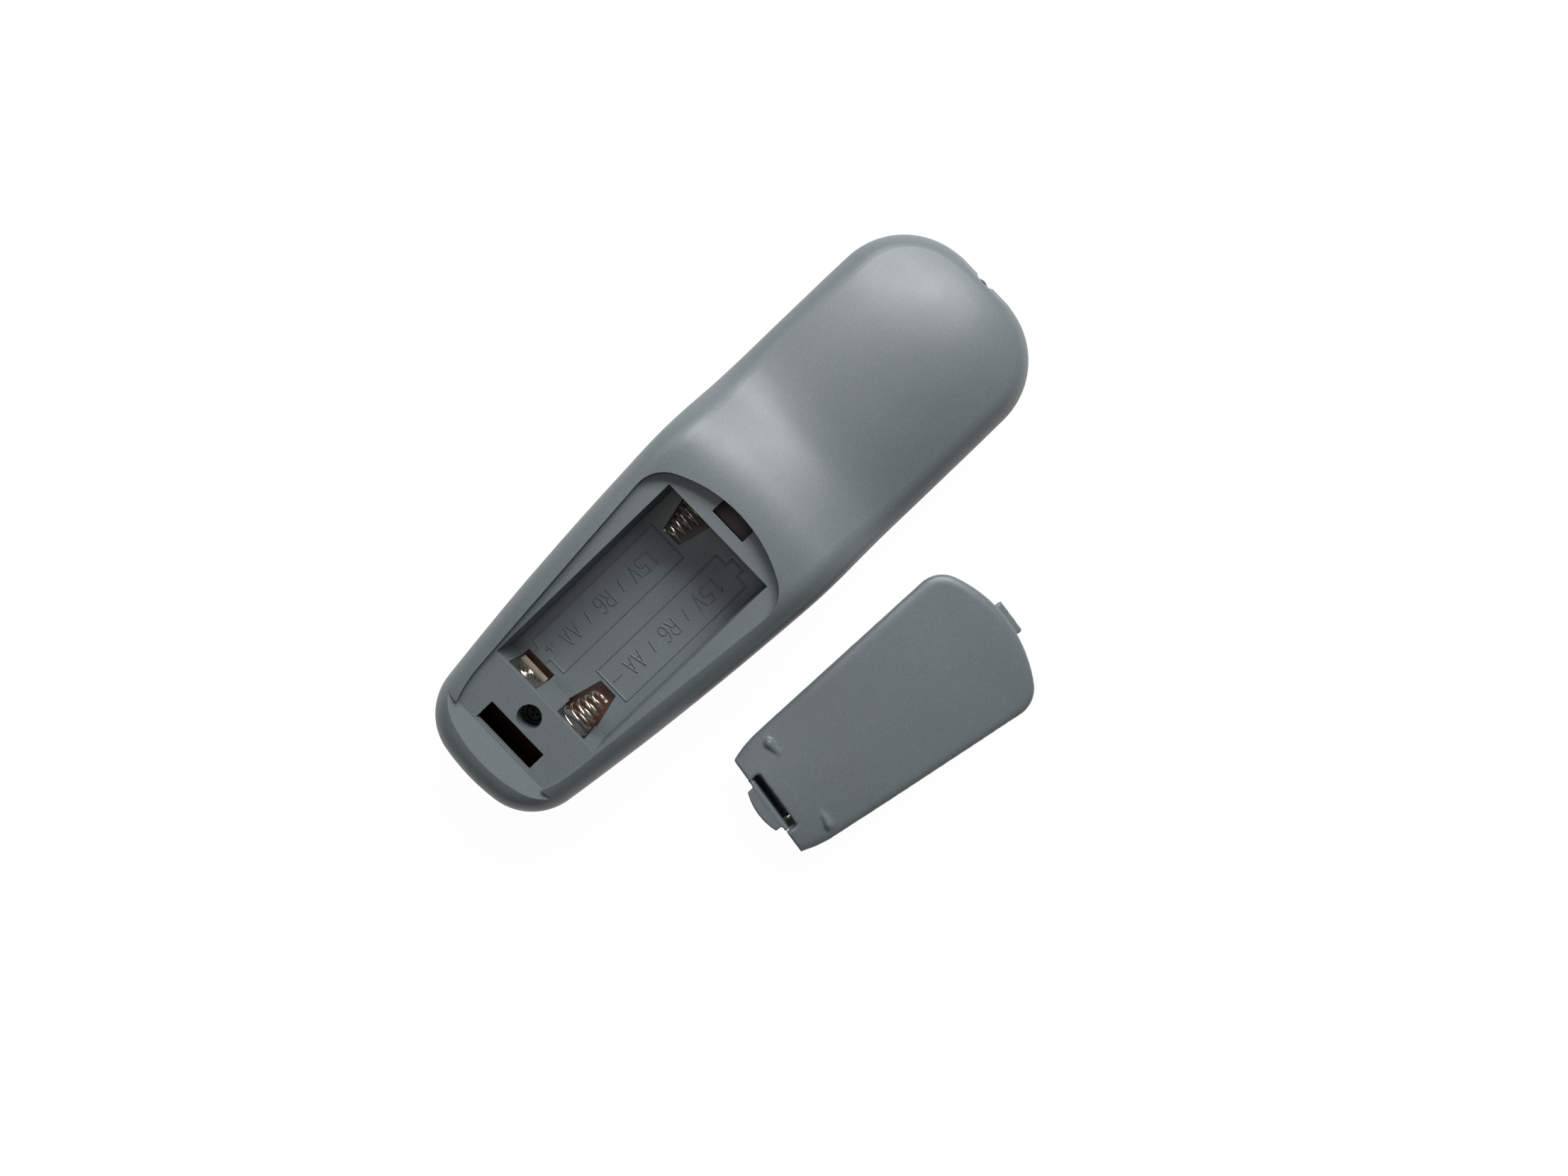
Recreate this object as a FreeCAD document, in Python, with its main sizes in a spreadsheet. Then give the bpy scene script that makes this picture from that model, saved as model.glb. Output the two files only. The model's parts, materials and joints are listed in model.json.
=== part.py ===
import FreeCAD, Part
import math
import os
import Sketcher

Vector = FreeCAD.Vector
xAxis = Vector(1, 0, 0)
upAxis = Vector(0, 0, 1)

# The handset lies face down, as it is stored with its battery bay open.
# X is across the handset, Y runs towards its infrared end and Z is up, away from the keys.
# The origin is on the flat rest face, in the bar between the two key fields.

doc = FreeCAD.newDocument("stereo_remote")
sheet = doc.addObject("Spreadsheet::Sheet", "Sizes")

sizes = {
    # handset outline seen from above
    "case_length": 168.0,
    "case_width": 54.0,
    "widest_at": 40.0,
    "side_radius": 890.0,
    "head_corner_radius": 19.5,
    "head_end_radius": 77.0,
    "tail_corner_radius": 14.0,
    "tail_end_radius": 60.0,
    # handset seen from the side
    "parting_height": 10.5,
    "parting_gap": 0.1,
    "wall": 1.8,
    "back_round": 7.5,
    "front_round": 4.0,
    "tail_drop": 3.1,
    "hump_past_seat": 6.15,
    "hump_rise": 1.5,
    "slope_length": 15.0,
    "palm_height": 18.9,
    "palm_dip": 1.1,
    "brow_from_end": 19.7,
    "brow_height": 18.2,
    "head_fall_from_end": 8.7,
    "head_fall_height": 16.0,
    "head_end_height": 12.4,
    "tail_crown": 4.5,
    "tail_crown_span": 25.0,
    "seat_crown": 1.3,
    "head_crown": 5.0,
    # hollow past the seat's tail, for the finger that works the latch
    "scoop_slope": 18.0,
    "scoop_length": 12.4,
    # cover seat, in a plane that rises towards the hump, with its own origin
    "seat_from_tail_end": 82.9,
    "seat_height": 23.8,
    "seat_tilt": 2.2,
    "seat_head": 3.35,
    "seat_tail": 71.3,
    "seat_width": 41.0,
    "seat_head_radius": 34.0,
    "seat_corner_radius": 8.0,
    "seat_taper": 4.9,
    "seat_side_length": 54.0,
    "seat_tail_radius": 30.0,
    "seat_plate": 1.6,
    "seat_rim": 1.6,
    # battery bay for two AA cells, measured from the seat plane
    "cell_diameter": 14.5,
    "cell_length": 50.5,
    "cell_side_gap": 0.6,
    "cell_depth_gap": 0.1,
    "bay_head": 3.3,
    "bay_end_room": 3.3,
    "bay_wall": 1.2,
    "bay_floor": 1.0,
    "spring_pocket": 1.6,
    "plate_pocket": 0.9,
    "pocket_gap": 0.15,
    "pocket_top": 1.5,
    "window_wide": 9.6,
    "window_narrow": 5.2,
    "window_length": 8.8,
    "plate_window": 1.6,
    # slots and screw hole in the seat
    "tab_slot_width": 9.6,
    "tab_slot_tail": 0.5,
    "tab_slot_undercut": 2.6,
    "tab_slot_depth": 3.0,
    "latch_slot_width": 16.7,
    "latch_slot_length": 5.0,
    "latch_strip": 0.6,
    "screw_at": 62.1,
    "screw_hole": 5.8,
    "screw_boss_wall": 0.7,
    # screw
    "screw_shank": 2.6,
    "screw_head": 4.8,
    "screw_head_height": 1.9,
    "screw_length": 9.0,
    "screw_seat": 2.4,
    "screw_gap": 0.05,
    "screw_socket": 2.2,
    "screw_socket_depth": 1.1,
    "front_boss": 5.2,
    # infrared end
    # flat that the emitter looks out of, with a facet above it
    "flat_width": 18.7,
    "flat_depth": 1.2,
    "flat_drop": 5.0,
    "flat_rise": 0.3,
    "facet_slope": 55.0,
    "led_diameter": 5.0,
    "led_flange": 5.8,
    "led_length": 8.6,
    "led_tip_inset": 1.4,
    "led_gap": 0.1,
    "led_leg": 0.5,
    "led_leg_spacing": 2.54,
    # stack behind the keys
    "field_recess": 1.4,
    "field_margin": 5.2,
    "field_bar": 3.0,
    "front_wall": 1.5,
    "ledge_width": 1.4,
    "key_top": 0.4,
    "key_round": 0.35,
    "key_side_gap": 0.25,
    "key_flange": 0.7,
    "key_flange_gap": 0.1,
    "key_flange_height": 0.4,
    "dome_height": 0.6,
    "mat_web": 0.6,
    "mat_inset": 0.5,
    "board_thickness": 1.2,
    "board_inset": 0.4,
    # keys
    "column_pitch": 13.0,
    "row_pitch": 8.6,
    "pad_width": 9.0,
    "pad_length": 5.4,
    "pad_corner": 2.2,
    "round_key": 6.6,
    "play_key": 9.4,
    "top_row_from_end": 15.5,
    "digits_from_end": 26.1,
    "volume_row": 14.6,
    "volume_pitch": 8.6,
    "volume_width": 13.0,
    "volume_length": 7.4,
    "ring_centre": 22.5,
    "ring_pitch": 11.0,
    "ring_side_pitch": 12.0,
    "lower_row_one": 46.0,
    "lower_row_two": 59.0,
    "key_boss_gap": 0.4,
    # springs and contacts
    "wire": 0.7,
    "spring_base_radius": 3.9,
    "spring_tip_radius": 1.7,
    "spring_length": 9.0,
    "spring_turns": 5.0,
    "spring_lean_gap": 0.45,
    "contact_sheet": 0.4,
    "contact_width": 8.0,
    "contact_height": 11.0,
    "contact_ring_large": 2.7,
    "contact_ring_small": 1.3,
    "contact_ring_wire": 0.25,
    "contact_leg": 3.0,
    "contact_lip": 0.7,
    "link_button": 5.6,
    "link_button_height": 0.7,
    # battery cover
    "cover_thickness": 2.4,
    "cover_gap": 0.3,
    "tab_width": 9.0,
    "tab_reach": 1.9,
    "tab_thickness": 1.4,
    "tab_lip_gap": 0.15,
    "tab_root": 3.2,
    "notch_in_cover_width": 15.2,
    "notch_in_cover_length": 3.0,
    "latch_width": 14.3,
    "latch_sheet": 1.0,
    "latch_bend_radius": 1.0,
    "latch_bend_at": 68.0,
    "latch_bend_depth": 6.2,
    "latch_lean": 8.5,
    "latch_top": 1.7,
    "latch_barb": 0.8,
    "latch_barb_height": 1.3,
    "latch_lap_gap": 0.05,
    "tongue_width": 11.4,
    "tongue_reach": 2.9,
    "tongue_bow": 1.1,
    "tongue_thickness": 0.9,
    "grip_at": 61.9,
    "grip_spread": 12.0,
    "grip_radius": 1.15,
    "grip_point_radius": 0.55,
    "grip_length": 3.4,
    "grip_turn": 8.0,
    "grip_proud": 1.1,
    "grip_point_proud": 0.35,
    # where the cover lies beside the handset
    "cover_beside_x": 59.1,
    "cover_beside_y": -4.0,
    "cover_turn": -7.4,
    # parts on the board
    "chip_x": 6.0,
    "chip_y": 30.0,
    "chip_width": 7.6,
    "chip_length": 18.0,
    "chip_height": 2.3,
    "chip_lift": 0.2,
    "chip_leg_pitch": 1.27,
    "chip_leg_width": 0.4,
    "chip_leg_reach": 0.8,
    "chip_leg_height": 0.9,
    "small_parts_x": 12.0,
    "resonator_y": 44.0,
    "resonator_width": 7.0,
    "resonator_depth": 3.2,
    "resonator_height": 5.5,
    "capacitor_y": 30.0,
    "capacitor_diameter": 5.0,
    "capacitor_height": 7.0,
    "transistor_y": 60.0,
    "transistor_diameter": 4.6,
    "transistor_height": 4.8,
    "transistor_lift": 1.5,
    "transistor_leg": 0.4,
    "transistor_leg_pitch": 1.27,
}

for row, (name, value) in enumerate(sizes.items(), start=1):
    sheet.set(f"A{row}", name)
    sheet.set(f"B{row}", str(value))
    sheet.setAlias(f"B{row}", name)
doc.recompute()


def size(name):
    return float(getattr(sheet, name))


# heights of the stack, from the keys up to the board
fieldInside = size("field_recess") + size("front_wall")
flangeTop = fieldInside + size("key_flange_gap") + size("key_flange_height")
webBottom = flangeTop + size("dome_height")
boardBottom = webBottom + size("mat_web")
boardTop = boardBottom + size("board_thickness")

# battery bay, in the seat's own frame
halfBay = size("cell_diameter") + 2 * size("cell_side_gap")
cellX = halfBay / 2
bayDepth = size("cell_diameter") + size("cell_depth_gap")
cellDepth = bayDepth - size("cell_diameter") / 2
bayHead = -size("bay_head")
bayTail = bayHead - size("cell_length") - size("bay_end_room")

halfLength = size("case_length") / 2
seatY = size("seat_from_tail_end") - halfLength
seatTilt = math.radians(size("seat_tilt"))
seatFrame = FreeCAD.Placement(
    Vector(0, seatY, size("seat_height")), FreeCAD.Rotation(xAxis, size("seat_tilt"))
)


# the same places as texts for the sheet
seatYText = "(Sizes.seat_from_tail_end - Sizes.case_length / 2)"
screwYText = f"({seatYText} - Sizes.screw_at)"
halfBayText = "(Sizes.cell_diameter + 2 * Sizes.cell_side_gap)"
bayDepthText = "(Sizes.cell_diameter + Sizes.cell_depth_gap)"
bayLengthText = "(Sizes.cell_length + Sizes.bay_end_room)"
bayTailText = f"(-Sizes.bay_head - {bayLengthText})"
cellXText = f"({halfBayText} / 2)"
pocketWidthText = "(2 * Sizes.spring_base_radius + Sizes.wire + 2 * Sizes.pocket_gap)"
fieldInsideText = "(Sizes.field_recess + Sizes.front_wall)"
flangeTopText = f"({fieldInsideText} + Sizes.key_flange_gap + Sizes.key_flange_height)"
boardTopText = f"({flangeTopText} + Sizes.dome_height + Sizes.mat_web + Sizes.board_thickness)"


def feature(name, shape):
    made = doc.addObject("Part::Feature", name)
    made.Shape = shape
    return made


def bind(made, **expressions):
    for path, text in expressions.items():
        made.setExpression(path.replace("__", "."), text)
    return made


def place(made, x="0", y="0", z="0"):
    return bind(made, Placement__Base__x=x, Placement__Base__y=y, Placement__Base__z=z)


def box(name, width, length, height, x="0", y="0", z="0"):
    """A box whose middle is at x and whose near lower edge is at y and z."""
    made = doc.addObject("Part::Box", name)
    bind(made, Length=width, Width=length, Height=height)
    return place(made, f"{x} - ({width}) / 2", y, z)


def cylinder(name, radius, height, x="0", y="0", z="0"):
    made = doc.addObject("Part::Cylinder", name)
    bind(made, Radius=radius, Height=height)
    return place(made, x, y, z)


def lyingCylinder(name, radius, length, x, y, z):
    """A cylinder along +Y from the point given."""
    made = cylinder(name, radius, length)
    made.Placement.Rotation = FreeCAD.Rotation(xAxis, -90)
    return place(made, x, y, z)


def fuse(name, pieces):
    made = doc.addObject("Part::MultiFuse", name)
    made.Shapes = pieces
    return made


def cut(name, base, tool):
    made = doc.addObject("Part::Cut", name)
    made.Base = base
    made.Tool = tool
    return made


def common(name, base, tool):
    made = doc.addObject("Part::MultiCommon", name)
    made.Shapes = [base, tool]
    return made


def onSeat(made):
    """Carries a group of pieces drawn in the seat's own frame to the seat."""
    made.Placement.Rotation = FreeCAD.Rotation(xAxis, 1)
    bind(made, Placement__Rotation__Angle="Sizes.seat_tilt")
    return place(made, y=seatYText, z="Sizes.seat_height")


def arcThrough(centre, radius, start, end, z=0):
    """An arc about a centre in a level plane, from one angle to another."""
    points = [
        Vector(centre[0] + radius * math.cos(a), centre[1] + radius * math.sin(a), z)
        for a in (start, (start + end) / 2, end)
    ]
    return Part.Arc(*points).toShape()


def line(a, b):
    return Part.LineSegment(a, b).toShape()


def closedMirror(right):
    """A closed wire from its right half and the mirror image of that half."""
    left = [edge.mirror(Vector(), xAxis) for edge in right]
    return Part.Wire(Part.__sortEdges__(right + left))


def handsetOutline(inset=0.0):
    """The handset's outline, drawn in by an inset: arcs that run smoothly into each other."""
    halfWidth = size("case_width") / 2
    sideCentre = (halfWidth - size("side_radius"), size("widest_at"))
    headCentre = (0, halfLength - size("head_end_radius"))
    tailCentre = (0, size("tail_end_radius") - halfLength)
    cornerX = halfWidth - size("head_corner_radius")
    reach = size("head_end_radius") - size("head_corner_radius")
    headCorner = (cornerX, headCentre[1] + math.sqrt(reach ** 2 - cornerX ** 2))
    # the tail corner's centre is as far inside the side arc as inside the end arc
    toSide = size("side_radius") - size("tail_corner_radius")
    toEnd = size("tail_end_radius") - size("tail_corner_radius")
    stepX = tailCentre[0] - sideCentre[0]
    stepY = tailCentre[1] - sideCentre[1]
    apart = math.hypot(stepX, stepY)
    along = (toSide ** 2 - toEnd ** 2 + apart ** 2) / (2 * apart)
    aside = math.sqrt(toSide ** 2 - along ** 2)
    tailCorner = (
        sideCentre[0] + (along * stepX + aside * stepY) / apart,
        sideCentre[1] + (along * stepY - aside * stepX) / apart,
    )
    headTurn = math.atan2(headCorner[1] - headCentre[1], headCorner[0])
    sideTurn = math.atan2(tailCorner[1] - sideCentre[1], tailCorner[0] - sideCentre[0])
    tailTurn = math.atan2(tailCorner[1] - tailCentre[1], tailCorner[0])
    sideX = halfWidth - inset
    return closedMirror([
        arcThrough(tailCentre, size("tail_end_radius") - inset, -math.pi / 2, tailTurn),
        arcThrough(tailCorner, size("tail_corner_radius") - inset, tailTurn, sideTurn),
        arcThrough(sideCentre, size("side_radius") - inset, sideTurn, 0),
        line(Vector(sideX, size("widest_at"), 0), Vector(sideX, headCorner[1], 0)),
        arcThrough(headCorner, size("head_corner_radius") - inset, 0, headTurn),
        arcThrough(headCentre, size("head_end_radius") - inset, headTurn, math.pi / 2),
    ])


def handsetPrism(inset, low, high):
    solid = Part.Face(handsetOutline(inset)).extrude(Vector(0, 0, high - low))
    solid.translate(Vector(0, 0, low))
    return solid


def seatHeightAt(y):
    return size("seat_height") + math.tan(seatTilt) * (y - seatY)


def backProfile():
    """The middle line of the handset's back, as points from its tail end to its head end."""
    tail = seatY - size("seat_tail")
    head = seatY + size("seat_head")
    steps = 6
    overSeat = []
    for step in range(steps + 1):
        y = tail + (head - tail) * step / steps
        overSeat.append((y, seatHeightAt(y) + size("cover_thickness")))
    hump = head + size("hump_past_seat")
    humpHeight = size("seat_height") + size("hump_rise")
    foot = hump + size("slope_length")
    footHeight = size("palm_height") + size("palm_dip")
    brow = halfLength - size("brow_from_end")
    return [
        (-halfLength, overSeat[0][1] - size("tail_drop")),
        *overSeat,
        (hump, humpHeight),
        ((hump + foot) / 2, (humpHeight + footHeight) / 2),
        (foot, footHeight),
        (foot + (brow - foot) / 3, size("palm_height")),
        (foot + (brow - foot) * 2 / 3, size("palm_height")),
        (brow, size("brow_height")),
        (halfLength - size("head_fall_from_end"), size("head_fall_height")),
        (halfLength, size("head_end_height")),
    ]


def easedStep(share):
    """Rises smoothly from 0 to 1 as the share does."""
    share = min(max(share, 0), 1)
    return share * share * (3 - 2 * share)


def crownAt(y):
    """How far the back falls from its middle line to the handset's side: more at both ends."""
    headFrom = seatY + size("seat_head")
    headSpan = size("hump_past_seat") + size("slope_length") * 1.5
    tailFrom = seatY - size("seat_tail") + size("tail_crown_span")
    towardsHead = easedStep((y - headFrom) / headSpan)
    towardsTail = easedStep((tailFrom - y) / size("tail_crown_span"))
    middle = size("seat_crown")
    return middle + (size("head_crown") - middle) * towardsHead + (size("tail_crown") - middle) * towardsTail


def backSurface(drop):
    """The handset's back: a spline along the middle line, crowned across, lowered by a drop."""
    profile = backProfile()
    # each end runs on in line past the handset, so that the surface covers it
    runOn = size("wall") + 4
    first = profile[0]
    last = profile[-1]
    tailSlope = (profile[1][1] - first[1]) / (profile[1][0] - first[0])
    headSlope = (last[1] - profile[-2][1]) / (last[0] - profile[-2][0])
    profile.insert(0, (first[0] - runOn, first[1] - runOn * tailSlope * 2))
    profile.append((last[0] + runOn, last[1] + runOn * headSlope * 1.4))
    halfWidth = size("case_width") / 2
    rows = []
    for step in range(-3, 4):
        share = step / 2.7
        row = []
        for y, z in profile:
            row.append(Vector(halfWidth * share, y, z - drop - crownAt(y) * share * share))
        rows.append(row)
    surface = Part.BSplineSurface()
    surface.interpolate(rows)
    return surface.toShape()


def handsetForm(inset, rounding, base):
    """The handset's body inside its skin by an inset, with its upper edge rounded."""
    top = size("seat_height") + size("case_width")
    under = backSurface(inset).extrude(Vector(0, 0, -top))
    solid = handsetPrism(inset, base, top).common(under).Solids[0]
    back = max(solid.Faces, key=lambda face: face.BoundBox.ZMax)
    return solid.makeFillet(rounding, back.Edges)


def outerForm():
    solid = handsetForm(0, size("back_round"), 0)
    rim = [edge for edge in solid.Edges if edge.BoundBox.ZMax < 0.01]
    return solid.makeFillet(size("front_round"), rim)


def seatOutline(grow):
    """The cover seat's outline in the seat's plane, let out all round by an amount."""
    headCentre = (0, size("seat_head") - size("seat_head_radius"))
    cornerX = size("seat_width") / 2 - size("seat_corner_radius")
    reach = size("seat_head_radius") - size("seat_corner_radius")
    corner = (cornerX, headCentre[1] + math.sqrt(reach ** 2 - cornerX ** 2))
    taper = math.radians(size("seat_taper"))
    outward = Vector(math.cos(taper), -math.sin(taper), 0)
    tailward = Vector(-math.sin(taper), -math.cos(taper), 0)
    sideStart = Vector(corner[0], corner[1], 0) + outward * (size("seat_corner_radius") + grow)
    sideEnd = sideStart + tailward * size("seat_side_length")
    tailRadius = size("seat_tail_radius") + grow
    tailCentre = sideEnd - outward * tailRadius
    tailY = -size("seat_tail") - grow
    tailTurn = math.asin((tailY - tailCentre.y) / tailRadius)
    tailX = tailCentre.x + tailRadius * math.cos(tailTurn)
    headTurn = math.atan2(corner[1] - headCentre[1], corner[0])
    right = [
        arcThrough(headCentre, size("seat_head_radius") + grow, math.pi / 2, headTurn),
        arcThrough(corner, size("seat_corner_radius") + grow, headTurn, -taper),
        line(sideStart, sideEnd),
        arcThrough((tailCentre.x, tailCentre.y), tailRadius, -taper, tailTurn),
        line(Vector(tailX, tailY, 0), Vector(0, tailY, 0)),
    ]
    return closedMirror(right)


def seatPrism(grow, low, high):
    solid = Part.Face(seatOutline(grow)).extrude(Vector(0, 0, high - low))
    solid.translate(Vector(0, 0, low))
    return solid


def bodyOf(name):
    return doc.addObject("PartDesign::Body", name)


def sketchOn(body, role, name, offset=None):
    sketch = body.newObject("Sketcher::SketchObject", name)
    plane = next(item for item in body.Origin.OriginFeatures if item.Role == role)
    sketch.AttachmentSupport = [(plane, "")]
    sketch.MapMode = "FlatFace"
    if offset:
        sketch.setExpression("AttachmentOffset.Base.z", offset)
    return sketch


def nameLast(sketch, index, name, expression):
    sketch.renameConstraint(index, name)
    sketch.setExpression(f"Constraints.{name}", expression)


def drawRectangle(sketch, width, length):
    """A rectangle centred on the sketch's origin."""
    corners = [(-3, -2), (3, -2), (3, 2), (-3, 2)]
    for index, (x, y) in enumerate(corners):
        nextX, nextY = corners[(index + 1) % 4]
        sketch.addGeometry(Part.LineSegment(Vector(x, y, 0), Vector(nextX, nextY, 0)), False)
    for index in range(4):
        sketch.addConstraint(Sketcher.Constraint("Coincident", index, 2, (index + 1) % 4, 1))
    sketch.addConstraint(Sketcher.Constraint("Horizontal", 0))
    sketch.addConstraint(Sketcher.Constraint("Horizontal", 2))
    sketch.addConstraint(Sketcher.Constraint("Vertical", 1))
    sketch.addConstraint(Sketcher.Constraint("Vertical", 3))
    sketch.addConstraint(Sketcher.Constraint("Symmetric", 0, 1, 1, 2, -1, 1))
    wide = sketch.addConstraint(Sketcher.Constraint("DistanceX", 0, 1, 0, 2, 6.0))
    nameLast(sketch, wide, "width", width)
    tall = sketch.addConstraint(Sketcher.Constraint("DistanceY", 1, 1, 1, 2, 4.0))
    nameLast(sketch, tall, "length", length)


def drawCircle(sketch, diameter):
    sketch.addGeometry(Part.Circle(Vector(0, 0, 0), upAxis, 3), False)
    sketch.addConstraint(Sketcher.Constraint("Coincident", 0, 3, -1, 1))
    across = sketch.addConstraint(Sketcher.Constraint("Diameter", 0, 6.0))
    nameLast(sketch, across, "diameter", diameter)


def pad(body, sketch, name, height):
    made = body.newObject("PartDesign::Pad", name)
    made.Profile = sketch
    made.setExpression("Length", height)
    doc.recompute()
    return made


def roundEdges(body, base, name, radius, chosen):
    """Rounds the edges of a feature for which chosen(edge) holds."""
    names = [f"Edge{i}" for i, edge in enumerate(base.Shape.Edges, start=1) if chosen(edge)]
    made = body.newObject("PartDesign::Fillet", name)
    made.Base = (base, names)
    made.setExpression("Radius", radius)
    doc.recompute()
    return made


def isUpright(edge):
    bounds = edge.BoundBox
    return bounds.XLength < 0.001 and bounds.YLength < 0.001 and bounds.ZLength > 0.001


def padded(body, stem, low, height, width, length, corner):
    """A pad with a round or a round-cornered plan, standing from a level."""
    sketch = sketchOn(body, "XY_Plane", f"{stem}Sketch", low)
    if length:
        drawRectangle(sketch, width, length)
    else:
        drawCircle(sketch, width)
    made = pad(body, sketch, f"{stem}Pad", height)
    if length and corner:
        made = roundEdges(body, made, f"{stem}Corners", corner, isUpright)
    return made


# Casing

outer = feature("outerForm", outerForm())
inner = feature("innerForm", handsetForm(size("wall"), size("back_round") - size("wall"), webBottom))
aboveParting = box(
    "aboveParting",
    "Sizes.case_width * 2",
    "Sizes.case_length * 2",
    "Sizes.case_width * 2",
    y="-Sizes.case_length",
    z="Sizes.parting_height",
)
belowParting = box(
    "belowParting",
    "Sizes.case_width * 2",
    "Sizes.case_length * 2",
    "Sizes.parting_height - Sizes.parting_gap",
    y="-Sizes.case_length",
)
rearBlank = common("rearBlank", outer, aboveParting)
rearShell = cut("rearShell", rearBlank, inner)


def rearCase():
    """The upper shell with its cover seat, battery tray, slots and screw boss."""
    rimReach = size("cover_thickness") + size("back_round")
    seatPlate = feature("seatPlate", seatPrism(size("seat_rim"), -size("seat_plate"), rimReach))
    tray = box(
        "tray",
        f"2 * {halfBayText} + 2 * Sizes.bay_wall",
        f"{bayLengthText} + 2 * Sizes.spring_pocket + 2 * Sizes.bay_wall",
        f"{bayDepthText} + Sizes.bay_floor",
        y=f"{bayTailText} - Sizes.spring_pocket - Sizes.bay_wall",
        z=f"-{bayDepthText} - Sizes.bay_floor",
    )
    seatBlock = onSeat(fuse("seatBlock", [seatPlate, tray, scoopWedge("scoopBacking", size("seat_plate"))]))
    seatInside = common("seatInside", seatBlock, outer)
    bossRadius = "(Sizes.screw_hole / 2 + Sizes.screw_boss_wall)"
    boss = cylinder(
        "rearBoss",
        bossRadius,
        "Sizes.seat_height - Sizes.parting_height - Sizes.seat_plate - Sizes.screw_at * tan(Sizes.seat_tilt)",
        y=screwYText,
        z="Sizes.parting_height",
    )
    solid = fuse("rearSolid", [rearShell, seatInside, boss])
    recess = feature("coverRecess", seatPrism(0, 0, size("cover_thickness") + size("back_round")))
    bay = box(
        "bay",
        f"2 * {halfBayText}",
        bayLengthText,
        f"{bayDepthText} + 1",
        y=bayTailText,
        z=f"-{bayDepthText}",
    )
    hollows = onSeat(fuse("rearHollows", [recess, bay, scoopWedge("scoop", 0)]))
    return cut("rearCaseBody", cut("rearHollow", solid, hollows), rearOpenings())


def scoopWedge(name, lower):
    """All that is above a slope that rises from the seat's tail, or from below it, to the skin."""
    tail = -size("seat_tail")
    far = tail - size("scoop_length")
    rise = size("scoop_length") * math.tan(math.radians(size("scoop_slope")))
    top = size("cover_thickness") + size("back_round")
    corners = [Vector(0, tail, -lower), Vector(0, far, rise - lower), Vector(0, far, top), Vector(0, tail, top)]
    edges = [line(corners[index - 1], corners[index]) for index in range(4)]
    return feature(name, sideProfile(edges, size("case_width")))


def floorWindow(name, x, y, towards):
    """A trapezoid through the bay floor, wide at the end wall and narrower towards the middle."""
    wide = size("window_wide") / 2
    narrow = size("window_narrow") / 2
    far = y + towards * size("window_length")
    low = -bayDepth - size("bay_floor") - 1
    corners = [(x - wide, y), (x + wide, y), (x + narrow, far), (x - narrow, far)]
    points = [Vector(a, b, low) for a, b in corners]
    face = Part.Face(Part.makePolygon(points + points[:1]))
    return feature(name, face.extrude(Vector(0, 0, size("cell_diameter") / 2 + size("bay_floor") + 1)))


def rearOpenings():
    pocketHeight = f"{bayDepthText} - Sizes.pocket_top"
    pocketLow = f"-{bayDepthText}"
    openings = [
        box("negativePocket", pocketWidthText, "Sizes.spring_pocket + 0.1", pocketHeight,
            x=cellXText, y=f"{bayTailText} - Sizes.spring_pocket", z=pocketLow),
        box("negativeFloor", pocketWidthText, "Sizes.spring_pocket + 0.1", "Sizes.bay_floor + 2",
            x=cellXText, y=f"{bayTailText} - Sizes.spring_pocket", z=f"{pocketLow} - Sizes.bay_floor - 1"),
        box("positivePocket", pocketWidthText, "Sizes.plate_pocket + 0.1", pocketHeight,
            x=f"-{cellXText}", y=f"{bayTailText} - Sizes.plate_pocket", z=pocketLow),
        box("positiveFloor", pocketWidthText, "Sizes.plate_pocket + Sizes.plate_window",
            "Sizes.bay_floor + Sizes.cell_diameter / 2",
            x=f"-{cellXText}", y=f"{bayTailText} - Sizes.plate_pocket", z=f"{pocketLow} - Sizes.bay_floor - 1"),
        box("linkPocketLeft", pocketWidthText, "Sizes.spring_pocket + 0.1", pocketHeight,
            x=f"-{cellXText}", y="-Sizes.bay_head - 0.1", z=pocketLow),
        box("linkPocketRight", pocketWidthText, "Sizes.spring_pocket + 0.1", pocketHeight,
            x=cellXText, y="-Sizes.bay_head - 0.1", z=pocketLow),
        box("linkSlit", f"{halfBayText} + {pocketWidthText}", "Sizes.contact_sheet + 0.1", pocketHeight,
            y="-Sizes.bay_head + Sizes.spring_pocket - Sizes.contact_sheet - 0.1", z=pocketLow),
        floorWindow("negativeWindow", cellX, bayTail, 1),
        floorWindow("linkWindow", -cellX, bayHead, -1),
        box("tabSlot", "Sizes.tab_slot_width",
            "Sizes.seat_head + Sizes.tab_slot_tail + Sizes.tab_slot_undercut", "Sizes.tab_slot_depth",
            y="-Sizes.tab_slot_tail", z="-Sizes.tab_slot_depth"),
        box("latchSlot", "Sizes.latch_slot_width", "Sizes.latch_slot_length", "Sizes.seat_plate + 3",
            y="-Sizes.seat_tail + Sizes.latch_strip", z="-Sizes.seat_plate - 2"),
    ]
    inSeat = onSeat(fuse("seatOpenings", openings))
    screwHole = cylinder(
        "screwHole", "Sizes.screw_hole / 2", "Sizes.seat_height",
        y=screwYText, z="Sizes.parting_height + Sizes.screw_seat",
    )
    shankHole = cylinder(
        "shankHole", "Sizes.screw_shank / 2 + Sizes.screw_gap", "Sizes.screw_seat + 2",
        y=screwYText, z="Sizes.parting_height - 1",
    )
    return fuse("rearCuts", [inSeat, screwHole, shankHole, endFlat("rearFlat"), ledHole("rearLedHole")])


def ledHole(name):
    return lyingCylinder(
        name, "Sizes.led_diameter / 2 + Sizes.led_gap", "Sizes.wall * 4",
        "0", "Sizes.case_length / 2 - Sizes.wall * 3", "Sizes.parting_height",
    )


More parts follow.
